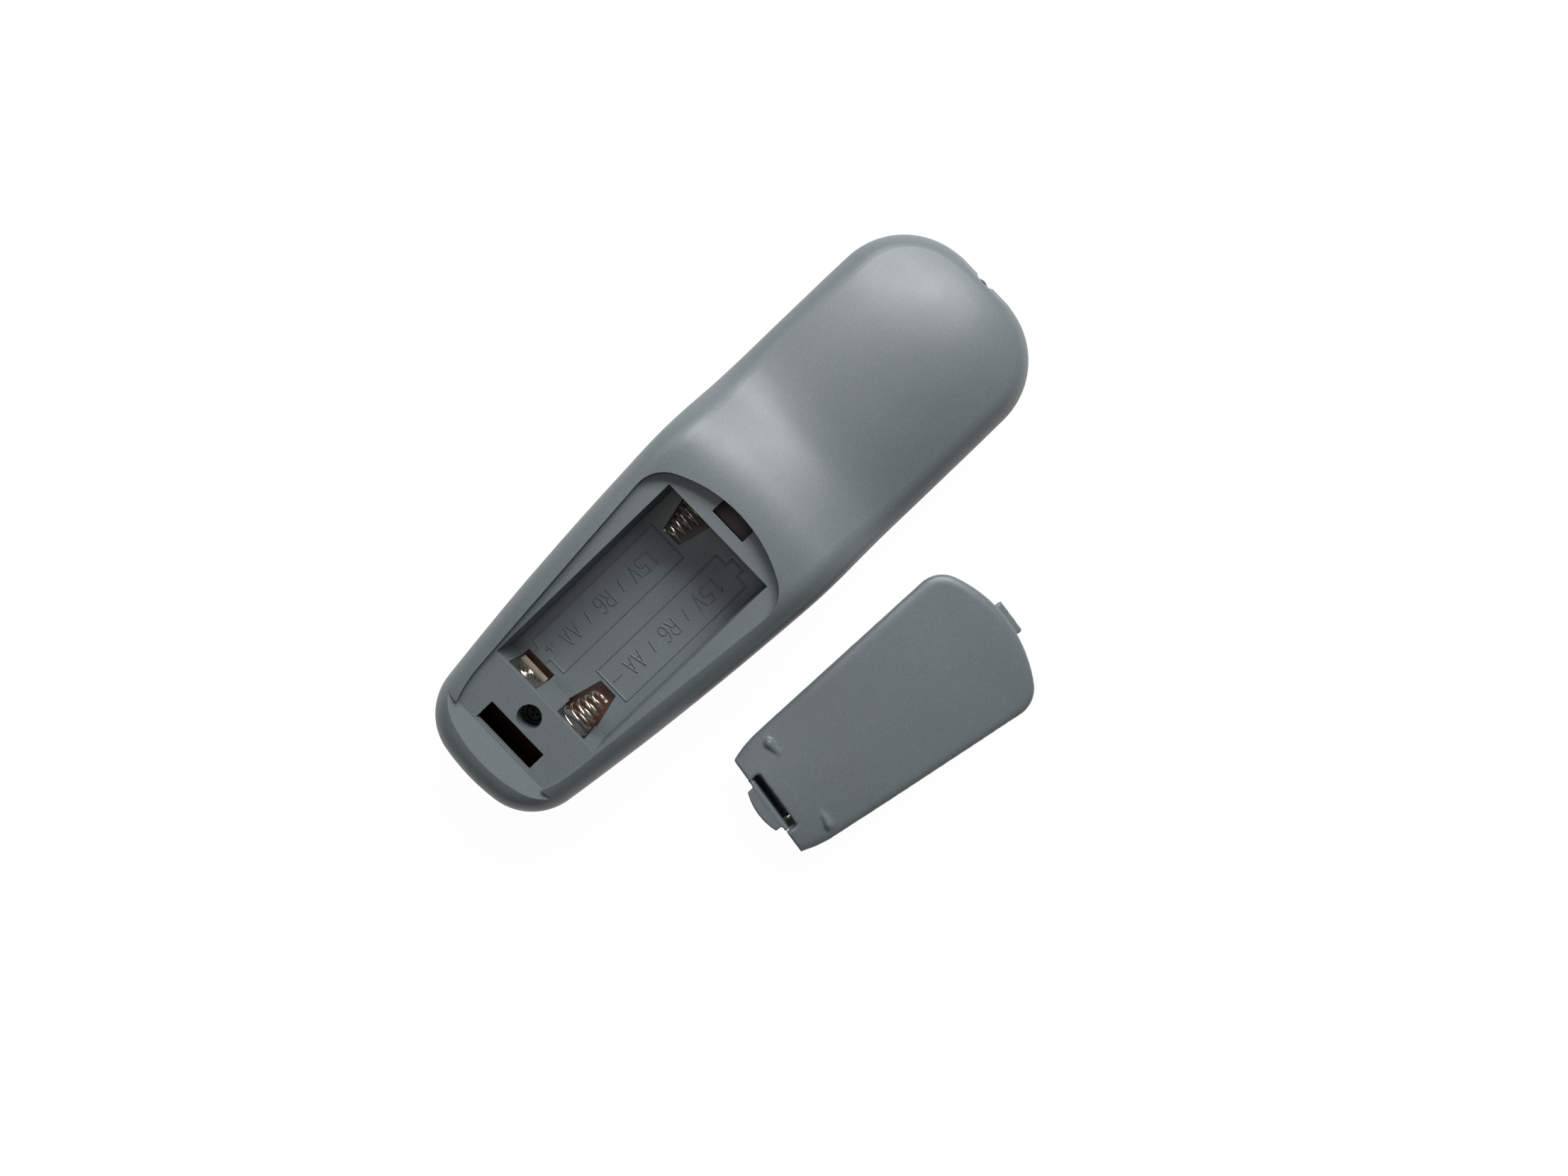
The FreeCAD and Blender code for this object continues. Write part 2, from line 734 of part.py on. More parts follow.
def endFlat(name):
    """What the flat at the infrared end takes away: a face across both halves, with a facet above it."""
    face = halfLength - size("flat_depth")
    low = size("parting_height") - size("flat_drop")
    edge = size("parting_height") + size("flat_rise")
    beyond = halfLength + size("wall")
    facetTop = size("seat_height")
    facetRoot = face - (facetTop - edge) / math.tan(math.radians(size("facet_slope")))
    corners = [
        Vector(0, face, low), Vector(0, face, edge), Vector(0, facetRoot, facetTop),
        Vector(0, beyond, facetTop), Vector(0, beyond, low),
    ]
    edges = [line(corners[index - 1], corners[index]) for index in range(5)]
    return feature(name, sideProfile(edges, size("flat_width")))


# Keys: one row of values for each key, as its name, place and plan.
# A plan without a length is round.

topRow = "Sizes.case_length / 2 - Sizes.top_row_from_end"
digitRow = "Sizes.case_length / 2 - Sizes.digits_from_end"
lowerX = "(Sizes.pad_width / 2 + Sizes.key_flange + Sizes.front_boss / 2 + Sizes.key_boss_gap)"
keyPlans = [
    ("power_key", "-Sizes.column_pitch", topRow, "Sizes.round_key", None),
    ("source_key", "0", topRow, "Sizes.pad_width", "Sizes.pad_length"),
    ("mute_key", "Sizes.column_pitch", topRow, "Sizes.round_key", None),
]
digitNames = ["one", "two", "three", "four", "five", "six", "seven", "eight", "nine", "minus", "zero", "plus"]
for index, word in enumerate(digitNames):
    column = index % 3 - 1
    rowNumber = index // 3
    keyPlans.append((
        f"{word}_key",
        f"{column} * Sizes.column_pitch",
        f"{digitRow} - {rowNumber} * Sizes.row_pitch",
        "Sizes.pad_width",
        "Sizes.pad_length",
    ))
keyPlans += [
    ("play_key", "0", "-Sizes.ring_centre", "Sizes.play_key", None),
    ("up_key", "0", "-Sizes.ring_centre + Sizes.ring_pitch", "Sizes.pad_width", "Sizes.pad_length"),
    ("down_key", "0", "-Sizes.ring_centre - Sizes.ring_pitch", "Sizes.pad_width", "Sizes.pad_length"),
    ("back_key", "-Sizes.ring_side_pitch", "-Sizes.ring_centre", "Sizes.round_key", None),
    ("forward_key", "Sizes.ring_side_pitch", "-Sizes.ring_centre", "Sizes.round_key", None),
    ("stop_key", f"-{lowerX}", "-Sizes.lower_row_one", "Sizes.pad_width", "Sizes.pad_length"),
    ("pause_key", lowerX, "-Sizes.lower_row_one", "Sizes.pad_width", "Sizes.pad_length"),
    ("track_back_key", f"-{lowerX}", "-Sizes.lower_row_two", "Sizes.pad_width", "Sizes.pad_length"),
    ("track_on_key", lowerX, "-Sizes.lower_row_two", "Sizes.pad_width", "Sizes.pad_length"),
    ("volume_down_key", "-Sizes.volume_pitch", "Sizes.volume_row", "Sizes.volume_width", "Sizes.volume_length"),
    ("volume_up_key", "Sizes.volume_pitch", "Sizes.volume_row", "Sizes.volume_width", "Sizes.volume_length"),
]


def wider(text, amount):
    return f"{text} + 2 * ({amount})" if text else None


def key(name, x, y, width, length):
    """A key cap: its head shows through the face, its flange stays behind it."""
    body = bodyOf(name)
    flangeLow = f"{fieldInsideText} + Sizes.key_flange_gap"
    head = padded(
        body, "Head", "Sizes.key_top", f"{flangeLow} + 0.01 - Sizes.key_top",
        width, length, "Sizes.pad_corner",
    )
    head = roundEdges(
        body, head, "HeadEdge", "Sizes.key_round",
        lambda edge: edge.BoundBox.ZMax < size("key_top") + 0.001,
    )
    padded(
        body, "Flange", flangeLow, "Sizes.key_flange_height",
        wider(width, "Sizes.key_flange"), wider(length, "Sizes.key_flange"), None,
    )
    return place(body, x, y)


def keyHole(name, x, y, width, length):
    body = bodyOf(f"{name}_hole")
    padded(
        body, "Hole", "0", f"{fieldInsideText} + 1",
        wider(width, "Sizes.key_side_gap"), wider(length, "Sizes.key_side_gap"),
        "Sizes.pad_corner + Sizes.key_side_gap",
    )
    return place(body, x, y)


def dome(name, x, y, width, length):
    """The raised rubber pad that carries one key."""
    body = bodyOf(f"{name}_dome")
    padded(
        body, "Dome", flangeTopText, "Sizes.dome_height + 0.01",
        wider(width, "-Sizes.key_flange"), wider(length, "-Sizes.key_flange"), None,
    )
    return place(body, x, y)


def frontCase():
    """The lower shell: rim, two sunk key fields, ledge for the board and screw boss."""
    blank = common("frontBlank", outer, belowParting)
    cavity = feature("frontCavity", handsetPrism(size("wall"), webBottom, size("parting_height") + 1))
    ledge = size("wall") + size("ledge_width")
    well = feature("frontWell", handsetPrism(ledge, fieldInside, webBottom + 1))
    field = feature("keyField", handsetPrism(size("field_margin"), -1, size("field_recess")))
    bar = box("fieldBar", "Sizes.case_width", "2 * Sizes.field_bar", "Sizes.field_recess + 2",
              y="-Sizes.field_bar", z="-1")
    fields = cut("keyFields", field, bar)
    holes = [keyHole(*plan) for plan in keyPlans]
    shell = cut("frontShell", blank, fuse("frontHollows", [cavity, well, fields] + holes))
    boss = cylinder(
        "frontBoss", "Sizes.front_boss / 2",
        f"Sizes.parting_height - Sizes.parting_gap - {fieldInsideText} + 0.1",
        y=screwYText, z=f"{fieldInsideText} - 0.1",
    )
    pilot = cylinder(
        "pilotHole", "Sizes.screw_shank / 2 + Sizes.screw_gap", "Sizes.parting_height",
        y=screwYText,
        z="Sizes.parting_height + Sizes.screw_seat - Sizes.screw_length - 0.5",
    )
    cuts = fuse("frontCuts", [pilot, endFlat("frontFlat"), ledHole("frontLedHole")])
    return cut("frontCaseBody", fuse("frontSolid", [shell, boss]), cuts)


def keyMat():
    web = feature("matWeb", handsetPrism(size("wall") + size("mat_inset"), webBottom, boardBottom))
    clearBoss = cylinder("matBossHole", "Sizes.front_boss / 2 + Sizes.board_inset", "Sizes.case_width",
                         y=screwYText)
    domes = [dome(*plan) for plan in keyPlans]
    return cut("keyMatBody", fuse("matSolid", [web] + domes), clearBoss)


def circuitBoard():
    board = feature("boardBlank", handsetPrism(size("wall") + size("board_inset"), boardBottom, boardTop))
    clearBoss = cylinder("boardBossHole", "Sizes.front_boss / 2 + Sizes.board_inset", "Sizes.case_width",
                         y=screwYText)
    return cut("circuitBoardBody", board, clearBoss)


# Springs and contacts

def seatPoint(x, y, z):
    return seatFrame.multVec(Vector(x, y, z))


def arcFrom(start, tangent, end):
    """The arc that leaves a point along a tangent and reaches another point."""
    chord = end - start
    side = chord - tangent * chord.dot(tangent)
    radius = chord.dot(chord) / (2 * side.Length)
    centre = start + side.normalize() * radius
    middle = (start + end) * 0.5 - centre
    middle = centre + middle.normalize() * radius
    return Part.Arc(start, middle, end), radius


def biarc(start, startTangent, end, endTangent):
    """Two arcs that join two points smoothly, each with its own tangent."""
    span = end - start
    both = startTangent + endTangent
    square = 2 * (1 - startTangent.dot(endTangent))
    linear = 2 * span.dot(both)
    if square < 1e-9:
        reach = span.dot(span) / linear
    else:
        reach = (math.sqrt(linear ** 2 + 4 * square * span.dot(span)) - linear) / (2 * square)
    first = start + startTangent * reach
    last = end - endTangent * reach
    joint = (first + last) * 0.5
    tangent = (last - first).normalize()
    one, radiusOne = arcFrom(start, startTangent, joint)
    two, radiusTwo = arcFrom(joint, tangent, end)
    return [one, two], [radiusOne, radiusTwo]


def windSpring(name, base, axis, footDirection, footEnd, side):
    """A conical spring: a straight foot, then curls that narrow towards the tip."""
    up = seatFrame.Rotation.multVec(upAxis)
    across = Vector(side, 0, 0)
    turns = size("spring_turns")
    rise = size("spring_length") / turns

    def at(turn):
        angle = 2 * math.pi * turn
        share = turn / turns
        radius = size("spring_base_radius") * (1 - share) + size("spring_tip_radius") * share
        spoke = across * math.cos(angle) + up * math.sin(angle)
        return base + axis * (rise * turn) + spoke * radius

    def tangentAt(turn):
        step = 1e-4
        return (at(turn + step) - at(turn - step)).normalize()

    wire = size("wire")
    first = at(0)
    foot = first + footDirection * (footEnd - first).dot(footDirection)
    pieces = [Part.LineSegment(foot, first)]
    radii = []
    here = first
    heading = footDirection * -1
    for half in range(1, int(turns * 2) + 1):
        there = at(half / 2)
        nextHeading = tangentAt(half / 2)
        arcs, arcRadii = biarc(here, heading, there, nextHeading)
        pieces += arcs
        radii += arcRadii
        here = there
        heading = nextHeading
    pieces.append(Part.LineSegment(here, here + heading * wire))
    path = Part.Wire([piece.toShape() for piece in pieces])
    ring = Part.Wire(Part.Circle(foot, footDirection, wire / 2).toShape())
    solid = path.makePipeShell([ring], True, False)
    reportCurls(name, pieces, radii)
    return feature(name, solid)


def reportCurls(name, pieces, radii):
    """Measures on points how near a spring's wire comes to itself."""
    wire = size("wire")
    points = []
    travelled = 0
    for piece in pieces:
        length = piece.length()
        count = max(2, int(length / 0.2))
        first, last = piece.FirstParameter, piece.LastParameter
        for step in range(count):
            points.append((travelled + length * step / count, piece.value(first + (last - first) * step / count)))
        travelled += length
    apart = size("spring_tip_radius") * 2.5
    nearest = min(
        (a[1] - b[1]).Length
        for i, a in enumerate(points)
        for b in points[i + 1:]
        if b[0] - a[0] > apart
    )
    print(f"{name}: least gap to itself {nearest - wire:.2f} mm, least bend radius {min(radii):.2f} mm")


def negativeSpring():
    """The spring at the tail wall. Its foot goes straight down, so it stands clear of the leaning wall."""
    axis = seatFrame.Rotation.multVec(Vector(0, 1, 0))
    baseY = bayTail - size("spring_pocket") + size("wire") / 2 + size("spring_lean_gap")
    base = seatPoint(cellX, baseY, -cellDepth)
    onBoard = Vector(0, 0, boardTop)
    return windSpring("negativeSpring", base, axis, upAxis * -1, onBoard, 1)


def linkSpring():
    axis = seatFrame.Rotation.multVec(Vector(0, -1, 0))
    down = seatFrame.Rotation.multVec(upAxis * -1)
    sheetThickness = size("contact_sheet")
    base = seatPoint(
        -cellX, bayHead + size("spring_pocket") - sheetThickness - size("wire") / 2, -cellDepth
    )
    onFoot = seatPoint(0, 0, -bayDepth + sheetThickness)
    return windSpring("linkSpring", base, axis, down, onFoot, -1)


def positiveContact():
    """A bent plate at the tail wall, with pressed rings, a lip and a leg down to the board."""
    faceY = f"{bayTailText} - Sizes.plate_pocket"
    bottom = f"-{bayDepthText} + 0.6"
    plate = box("contactPlate", "Sizes.contact_width", "Sizes.contact_sheet", "Sizes.contact_height",
                x=f"-{cellXText}", y=faceY, z=bottom)
    lip = box("contactLip", "Sizes.contact_width", "Sizes.contact_sheet + Sizes.contact_lip",
              "Sizes.contact_sheet", x=f"-{cellXText}", y=faceY, z=bottom)
    leg = box("contactLeg", "Sizes.contact_leg", "Sizes.contact_sheet",
              "Sizes.bay_floor + 4", x=f"-{cellXText}", y=faceY, z=f"{bottom} - Sizes.bay_floor - 3.9")
    rings = []
    for index, radius in enumerate(("contact_ring_large", "contact_ring_small")):
        ring = doc.addObject("Part::Torus", f"contactRing{index}")
        bind(ring, Radius1=f"Sizes.{radius}", Radius2="Sizes.contact_ring_wire")
        ring.Placement.Rotation = FreeCAD.Rotation(xAxis, 90)
        rings.append(place(ring, f"-{cellXText}", f"{faceY} + Sizes.contact_sheet",
                           f"-{bayDepthText} + Sizes.cell_diameter / 2"))
    made = onSeat(fuse("contactBent", [plate, lip, leg] + rings))
    aboveBoard = box("aboveBoard", "Sizes.case_width", "Sizes.case_length", "Sizes.case_width",
                     y="-Sizes.case_length", z=boardTopText)
    return common("positiveContactBody", made, aboveBoard)


def linkPlate():
    """The strip that joins the two cells behind the head wall, with a button and a foot."""
    backY = "-Sizes.bay_head + Sizes.spring_pocket - Sizes.contact_sheet"
    strip = box("linkStrip", f"{halfBayText} + Sizes.contact_width", "Sizes.contact_sheet",
                "Sizes.contact_height", y=backY, z=f"-{bayDepthText}")
    foot = box("linkFoot", "Sizes.contact_width", "2 * Sizes.wire + Sizes.contact_sheet",
               "Sizes.contact_sheet", x=f"-{cellXText}", y=f"{backY} - 2 * Sizes.wire",
               z=f"-{bayDepthText}")
    button = lyingCylinder("linkButton", "Sizes.link_button / 2", "Sizes.link_button_height + 0.1",
                           cellXText, f"{backY} - Sizes.link_button_height",
                           f"-{bayDepthText} + Sizes.cell_diameter / 2")
    return onSeat(fuse("linkPlateBody", [strip, foot, button]))


def caseScrew():
    """A pan-head screw, turned about its axis, with a cross recess."""
    body = bodyOf("case_screw")
    sketch = sketchOn(body, "XZ_Plane", "ScrewProfile")
    corners = [(0, -7), (1, -7), (1, 0), (2, 0), (2, 2), (0, 2)]
    for index, (x, z) in enumerate(corners):
        nextX, nextZ = corners[(index + 1) % 6]
        sketch.addGeometry(Part.LineSegment(Vector(x, z, 0), Vector(nextX, nextZ, 0)), False)
    for index in range(6):
        sketch.addConstraint(Sketcher.Constraint("Coincident", index, 2, (index + 1) % 6, 1))
    for index in (0, 2, 4):
        sketch.addConstraint(Sketcher.Constraint("Horizontal", index))
    for index in (1, 3, 5):
        sketch.addConstraint(Sketcher.Constraint("Vertical", index))
    sketch.addConstraint(Sketcher.Constraint("PointOnObject", 0, 1, -2))
    sketch.addConstraint(Sketcher.Constraint("PointOnObject", 2, 1, -1))
    limits = [
        ("shank", Sketcher.Constraint("DistanceX", 0, 1, 0, 2, 1.0), "Sizes.screw_shank / 2"),
        ("head", Sketcher.Constraint("DistanceX", 4, 2, 4, 1, 2.0), "Sizes.screw_head / 2"),
        ("under", Sketcher.Constraint("DistanceY", 1, 1, 1, 2, 7.0), "Sizes.screw_length"),
        ("tall", Sketcher.Constraint("DistanceY", 3, 1, 3, 2, 2.0), "Sizes.screw_head_height"),
    ]
    for name, constraint, expression in limits:
        nameLast(sketch, sketch.addConstraint(constraint), name, expression)
    turned = body.newObject("PartDesign::Revolution", "Turned")
    turned.Profile = sketch
    turned.ReferenceAxis = (sketch, ["V_Axis"])
    turned.Angle = 360
    doc.recompute()
    crown = [edge for edge in turned.Shape.Edges if edge.BoundBox.ZMin > size("screw_head_height") - 0.001]
    roundEdges(body, turned, "CrownEdge", "Sizes.screw_head_height / 3",
               lambda edge: any(edge.isSame(other) for other in crown))
    for index, (width, length) in enumerate((("socket", "slit"), ("slit", "socket"))):
        texts = {"socket": "Sizes.screw_socket", "slit": "Sizes.screw_socket / 3.5"}
        top = sketchOn(body, "XY_Plane", f"Socket{index}", "Sizes.screw_head_height")
        drawRectangle(top, texts[width], texts[length])
        pocket = body.newObject("PartDesign::Pocket", f"SocketCut{index}")
        pocket.Profile = top
        pocket.setExpression("Length", "Sizes.screw_socket_depth")
        doc.recompute()
    return place(body, "0", screwYText, "Sizes.parting_height + Sizes.screw_seat")


def irLed():
    """A round emitter: dome, barrel, flange and two legs bent down to the board."""
    radius = size("led_diameter") / 2
    flange = size("led_flange") / 2
    tip = halfLength - size("led_tip_inset")
    back = tip - size("led_length")
    shoulder = tip - radius
    height = size("parting_height")
    flangeLength = 1.0
    diagonal = radius * math.sqrt(0.5)
    edges = [
        line(Vector(0, back, 0), Vector(flange, back, 0)),
        line(Vector(flange, back, 0), Vector(flange, back + flangeLength, 0)),
        line(Vector(flange, back + flangeLength, 0), Vector(radius, back + flangeLength, 0)),
        line(Vector(radius, back + flangeLength, 0), Vector(radius, shoulder, 0)),
        Part.Arc(Vector(radius, shoulder, 0), Vector(diagonal, shoulder + diagonal, 0),
                 Vector(0, tip, 0)).toShape(),
        line(Vector(0, tip, 0), Vector(0, back, 0)),
    ]
    lens = Part.Face(Part.Wire(edges)).revolve(Vector(), Vector(0, 1, 0), 360)
    lens.translate(Vector(0, 0, height))
    leg = size("led_leg")
    bend = back - 2.0
    pieces = [lens]
    for sign in (-1, 1):
        x = sign * size("led_leg_spacing") / 2
        run = Part.makeBox(leg, back - bend + 0.2, leg, Vector(x - leg / 2, bend, height - leg / 2))
        drop = Part.makeBox(leg, leg, height - leg / 2 - boardTop + 0.1, Vector(x - leg / 2, bend, boardTop))
        pieces += [run, drop]
    return feature("irLedBody", pieces[0].multiFuse(pieces[1:]).removeSplitter())


# Parts on the board

def controllerChip():
    """A flat package with a row of bent legs down each side."""
    package = box("chipPackage", "Sizes.chip_width", "Sizes.chip_length",
                  "Sizes.chip_height - Sizes.chip_lift", z="Sizes.chip_lift")
    count = int(size("chip_length") / size("chip_leg_pitch"))
    first = f"(Sizes.chip_length - {count - 1} * Sizes.chip_leg_pitch - Sizes.chip_leg_width) / 2"
    legs = []
    for index in range(count):
        for sign in ("-", ""):
            legs.append(box(
                f"chipLeg{len(legs)}", "Sizes.chip_leg_reach", "Sizes.chip_leg_width",
                "Sizes.chip_leg_height", x=f"{sign}(Sizes.chip_width / 2 + Sizes.chip_leg_reach * 0.4)",
                y=f"{first} + {index} * Sizes.chip_leg_pitch",
            ))
    made = fuse("controllerChipBody", [package] + legs)
    return place(made, "Sizes.chip_x", "Sizes.chip_y", boardTopText)


def resonator():
    body = bodyOf("resonator")
    padded(body, "Block", "0", "Sizes.resonator_height", "Sizes.resonator_width",
           "Sizes.resonator_depth", "Sizes.resonator_depth / 4")
    return place(body, "-Sizes.small_parts_x", "Sizes.resonator_y", boardTopText)


def capacitor():
    body = bodyOf("capacitor")
    can = padded(body, "Can", "0", "Sizes.capacitor_height", "Sizes.capacitor_diameter", None, None)
    roundEdges(body, can, "CanEdge", "Sizes.capacitor_diameter / 12",
               lambda edge: edge.BoundBox.ZMin > size("capacitor_height") - 0.001)
    return place(body, "-Sizes.small_parts_x", "Sizes.capacitor_y", boardTopText)


def transistor():
    """A small round package with one flat side, standing on its legs."""
    can = cylinder("transistorCan", "Sizes.transistor_diameter / 2", "Sizes.transistor_height",
                   z="Sizes.transistor_lift")
    flat = box("transistorFlat", "Sizes.transistor_diameter * 2", "Sizes.transistor_diameter",
               "Sizes.transistor_height * 2", y="Sizes.transistor_diameter / 4")
    made = cut("transistorPackage", can, flat)
    legs = [
        box(f"transistorLeg{index}", "Sizes.transistor_leg", "Sizes.transistor_leg",
            "Sizes.transistor_lift + 0.1", x=f"{index - 1} * Sizes.transistor_leg_pitch",
            y="-Sizes.transistor_leg / 2")
        for index in range(3)
    ]
    whole = fuse("transistorBody", [made] + legs)
    return place(whole, "-Sizes.small_parts_x", "Sizes.transistor_y", boardTopText)


# Battery cover, drawn where it seats and then laid beside the handset

def coverBlank():
    """The handset's own skin over the seat, in the seat's frame."""
    reach = size("cover_thickness") + size("back_round")
    skin = outer.Shape.copy()
    skin.Placement = seatFrame.inverse()
    return seatPrism(-size("cover_gap"), 0, reach).common(skin).Solids[0]


def latchCentre():
    return -size("latch_bend_at"), -size("latch_bend_depth")


def sideProfile(edges, width):
    """A sheet bent across the handset: its outline in the side view, swept across."""
    face = Part.Face(Part.Wire(Part.__sortEdges__(edges)))
    solid = face.extrude(Vector(width, 0, 0))
    solid.translate(Vector(-width / 2, 0, 0))
    return solid


def sidePoint(radius, angle):
    y, z = latchCentre()
    turn = math.radians(angle)
    return Vector(0, y + radius * math.cos(turn), z + radius * math.sin(turn))


def sideRing(inside, outside, start, end, width):
    """Part of a ring about the latch's bend, between two angles."""
    middle = (start + end) / 2
    edges = [
        Part.Arc(sidePoint(inside, start), sidePoint(inside, middle), sidePoint(inside, end)).toShape(),
        line(sidePoint(inside, end), sidePoint(outside, end)),
        Part.Arc(sidePoint(outside, end), sidePoint(outside, middle), sidePoint(outside, start)).toShape(),
        line(sidePoint(outside, start), sidePoint(inside, start)),
    ]
    return sideProfile(edges, width)


def latchRadii():
    inside = size("latch_bend_radius")
    outside = inside + size("latch_sheet")
    lap = (inside + outside) / 2
    return inside, lap - size("latch_lap_gap") / 2, lap + size("latch_lap_gap") / 2, outside


def coverSolid():
    """The cover with its tab, the fixed half of its latch, a notch and two grips."""
    blank = feature("coverBlank", coverBlank())
    inside, lapInside, lapOutside, outside = latchRadii()
    width = size("latch_width")
    y, z = latchCentre()
    bend = sideRing(inside, outside, -60, 0, width)
    lap = sideRing(inside, lapInside, -135, -60, width)
    leg = Part.makeBox(width, size("latch_sheet"), -z + 0.3, Vector(-width / 2, y + inside, z))
    fixedLatch = feature("fixedLatch", bend.multiFuse([lap, leg]))
    tabRoot = box(
        "tabRoot", "Sizes.tab_width", "Sizes.tab_root", "Sizes.tab_thickness + 0.4",
        y="Sizes.seat_head - Sizes.cover_gap - Sizes.tab_root - 0.4",
        z="-Sizes.tab_thickness - Sizes.tab_lip_gap",
    )
    tab = box(
        "tab", "Sizes.tab_width", "Sizes.tab_root + Sizes.tab_reach", "Sizes.tab_thickness",
        y="Sizes.seat_head - Sizes.cover_gap - Sizes.tab_root",
        z="-Sizes.tab_thickness - Sizes.tab_lip_gap",
    )
    grips = [grip(sign) for sign in (-1, 1)]
    notch = box(
        "coverNotch", "Sizes.notch_in_cover_width", "Sizes.notch_in_cover_length + 1", "4 * Sizes.cover_thickness",
        y="-Sizes.seat_tail + Sizes.cover_gap - 1", z="-0.2",
    )
    return fuse("coverBody", [cut("coverNotched", blank, notch), fixedLatch, tabRoot, tab] + grips)


def skinAbove(x, y):
    """How high the handset's skin is over a point of the seat's plane."""
    return size("cover_thickness") - crownAt(seatY + y) * (x / (size("case_width") / 2)) ** 2


def grip(sign):
    """A teardrop: a ball at its outer end that runs out in a cone towards the middle."""
    radius = size("grip_radius")
    pointRadius = size("grip_point_radius")
    turn = math.radians(size("grip_turn"))
    x = sign * size("grip_spread")
    y = -size("grip_at")
    pointX = x - sign * size("grip_length") * math.cos(turn)
    pointY = y + size("grip_length") * math.sin(turn)
    centre = Vector(x, y, skinAbove(x, y) + size("grip_proud") - radius)
    point = Vector(pointX, pointY, skinAbove(pointX, pointY) + size("grip_point_proud") - pointRadius)
    run = point - centre
    ball = Part.makeSphere(radius, centre)
    taper = Part.makeCone(radius, pointRadius, run.Length, centre, run)
    tip = Part.makeSphere(pointRadius, point)
    reach = 2 * size("grip_length")
    keep = Part.makeBox(2 * reach, 2 * reach, reach, Vector(x - reach, y - reach, 0.3))
    return feature(f"grip{'Left' if sign < 0 else 'Right'}", ball.multiFuse([taper, tip]).common(keep))


def latchSolid():
    """The moving half of the latch: bend, leaning leg with a barb, and a tongue with a bowed edge."""
    inside, lapInside, lapOutside, outside = latchRadii()
    width = size("latch_width")
    y, z = latchCentre()
    lap = sideRing(lapOutside, outside, -140, -65, width)
    lean = math.radians(size("latch_lean"))
    bend = sideRing(inside, outside, -180 - size("latch_lean"), -140, width)
    out = Vector(0, -math.cos(lean), math.sin(lean))
    rise = Vector(0, -math.sin(lean), math.cos(lean))
    low = Vector(0, y, z) + out * inside
    high = Vector(0, y, z) + out * outside
    legLength = (size("latch_top") - low.z) / rise.z
    legTop = low + rise * legLength
    leg = sideProfile([
        line(low, high),
        line(high, high + rise * legLength),
        line(high + rise * legLength, legTop),
        line(legTop, low),
    ], width)
    # the barb catches under the seat plate, beside the slot
    barbTop = high + rise * ((-size("seat_plate") - size("tab_lip_gap") - high.z) / rise.z)
    barbFoot = barbTop - rise * size("latch_barb_height")
    barbEnd = barbTop + out * size("latch_barb")
    inLeg = out * (-size("latch_sheet") / 2)
    barb = sideProfile([
        line(barbTop + inLeg, barbEnd),
        line(barbEnd, barbFoot),
        line(barbFoot, barbFoot + inLeg),
        line(barbFoot + inLeg, barbTop + inLeg),
    ], width)
    tip = -size("seat_tail") + size("cover_gap") - size("tongue_reach")
    root = legTop.y
    half = size("tongue_width") / 2
    bow = size("tongue_bow")
    plan = [
        line(Vector(-half, root, 0), Vector(half, root, 0)),
        line(Vector(half, root, 0), Vector(half, tip + bow, 0)),
        Part.Arc(Vector(half, tip + bow, 0), Vector(0, tip, 0), Vector(-half, tip + bow, 0)).toShape(),
        line(Vector(-half, tip + bow, 0), Vector(-half, root, 0)),
    ]
    tongue = Part.Face(Part.Wire(plan)).extrude(Vector(0, 0, size("tongue_thickness")))
    tongue.translate(Vector(0, 0, size("latch_top") - size("tongue_thickness")))
    return feature("latchBody", bend.multiFuse([lap, leg, barb, tongue]).removeSplitter())


def layBeside(made):
    """Lays a piece drawn in the seat's frame on the surface, on the latch's bend and the tab's end."""
    inside, lapInside, lapOutside, outside = latchRadii()
    bendY, bendZ = latchCentre()
    tabY = size("seat_head") - size("cover_gap") + size("tab_reach")
    tabZ = -size("tab_thickness") - size("tab_lip_gap")
    # the line that touches the round bend and the tab's lower edge lies on the surface
    run = math.hypot(tabY - bendY, tabZ - bendZ)
    tilt = math.atan2(tabZ - bendZ, tabY - bendY) + math.asin(outside / run)
    flat = FreeCAD.Placement(Vector(), FreeCAD.Rotation(xAxis, -math.degrees(tilt)))
    low = flat.multVec(Vector(0, tabY, tabZ)).z
    middle = flat.multVec(Vector(0, (size("seat_head") - size("seat_tail")) / 2, 0))
    turn = FreeCAD.Placement(
        Vector(size("cover_beside_x"), size("cover_beside_y"), 0),
        FreeCAD.Rotation(upAxis, size("cover_turn")),
    )
    down = FreeCAD.Placement(Vector(0, -middle.y, -low), FreeCAD.Rotation())
    made.Placement = turn.multiply(down).multiply(flat)
    return made


subParts = {
    "rear_case": rearCase(),
    "front_case": frontCase(),
    "key_mat": keyMat(),
    "circuit_board": circuitBoard(),
    "ir_led": irLed(),
    "controller_chip": controllerChip(),
    "resonator": resonator(),
    "capacitor": capacitor(),
    "transistor": transistor(),
    "positive_contact": positiveContact(),
    "negative_spring": negativeSpring(),
    "link_spring": linkSpring(),
    "link_plate": linkPlate(),
    "case_screw": caseScrew(),
    "battery_cover": layBeside(coverSolid()),
    "cover_latch": layBeside(latchSolid()),
}
for plan in keyPlans:
    subParts[plan[0]] = key(*plan)

doc.recompute()
for name, made in subParts.items():
    made.Label = name

failed = [made.Name for made in doc.Objects if {"Invalid", "Error"} & set(made.State)]
if failed:
    raise RuntimeError(f"these did not build: {failed}")
for name, made in subParts.items():
    if made.Shape.isNull() or not made.Shape.isValid() or not made.Shape.Solids:
        raise RuntimeError(f"{name} has no valid shape")

pivot = subParts["cover_latch"].Placement.multVec(Vector(0, *latchCentre()))
print(f"latch bend at {pivot.x:.3f}, {pivot.y:.3f}, {pivot.z:.3f}")

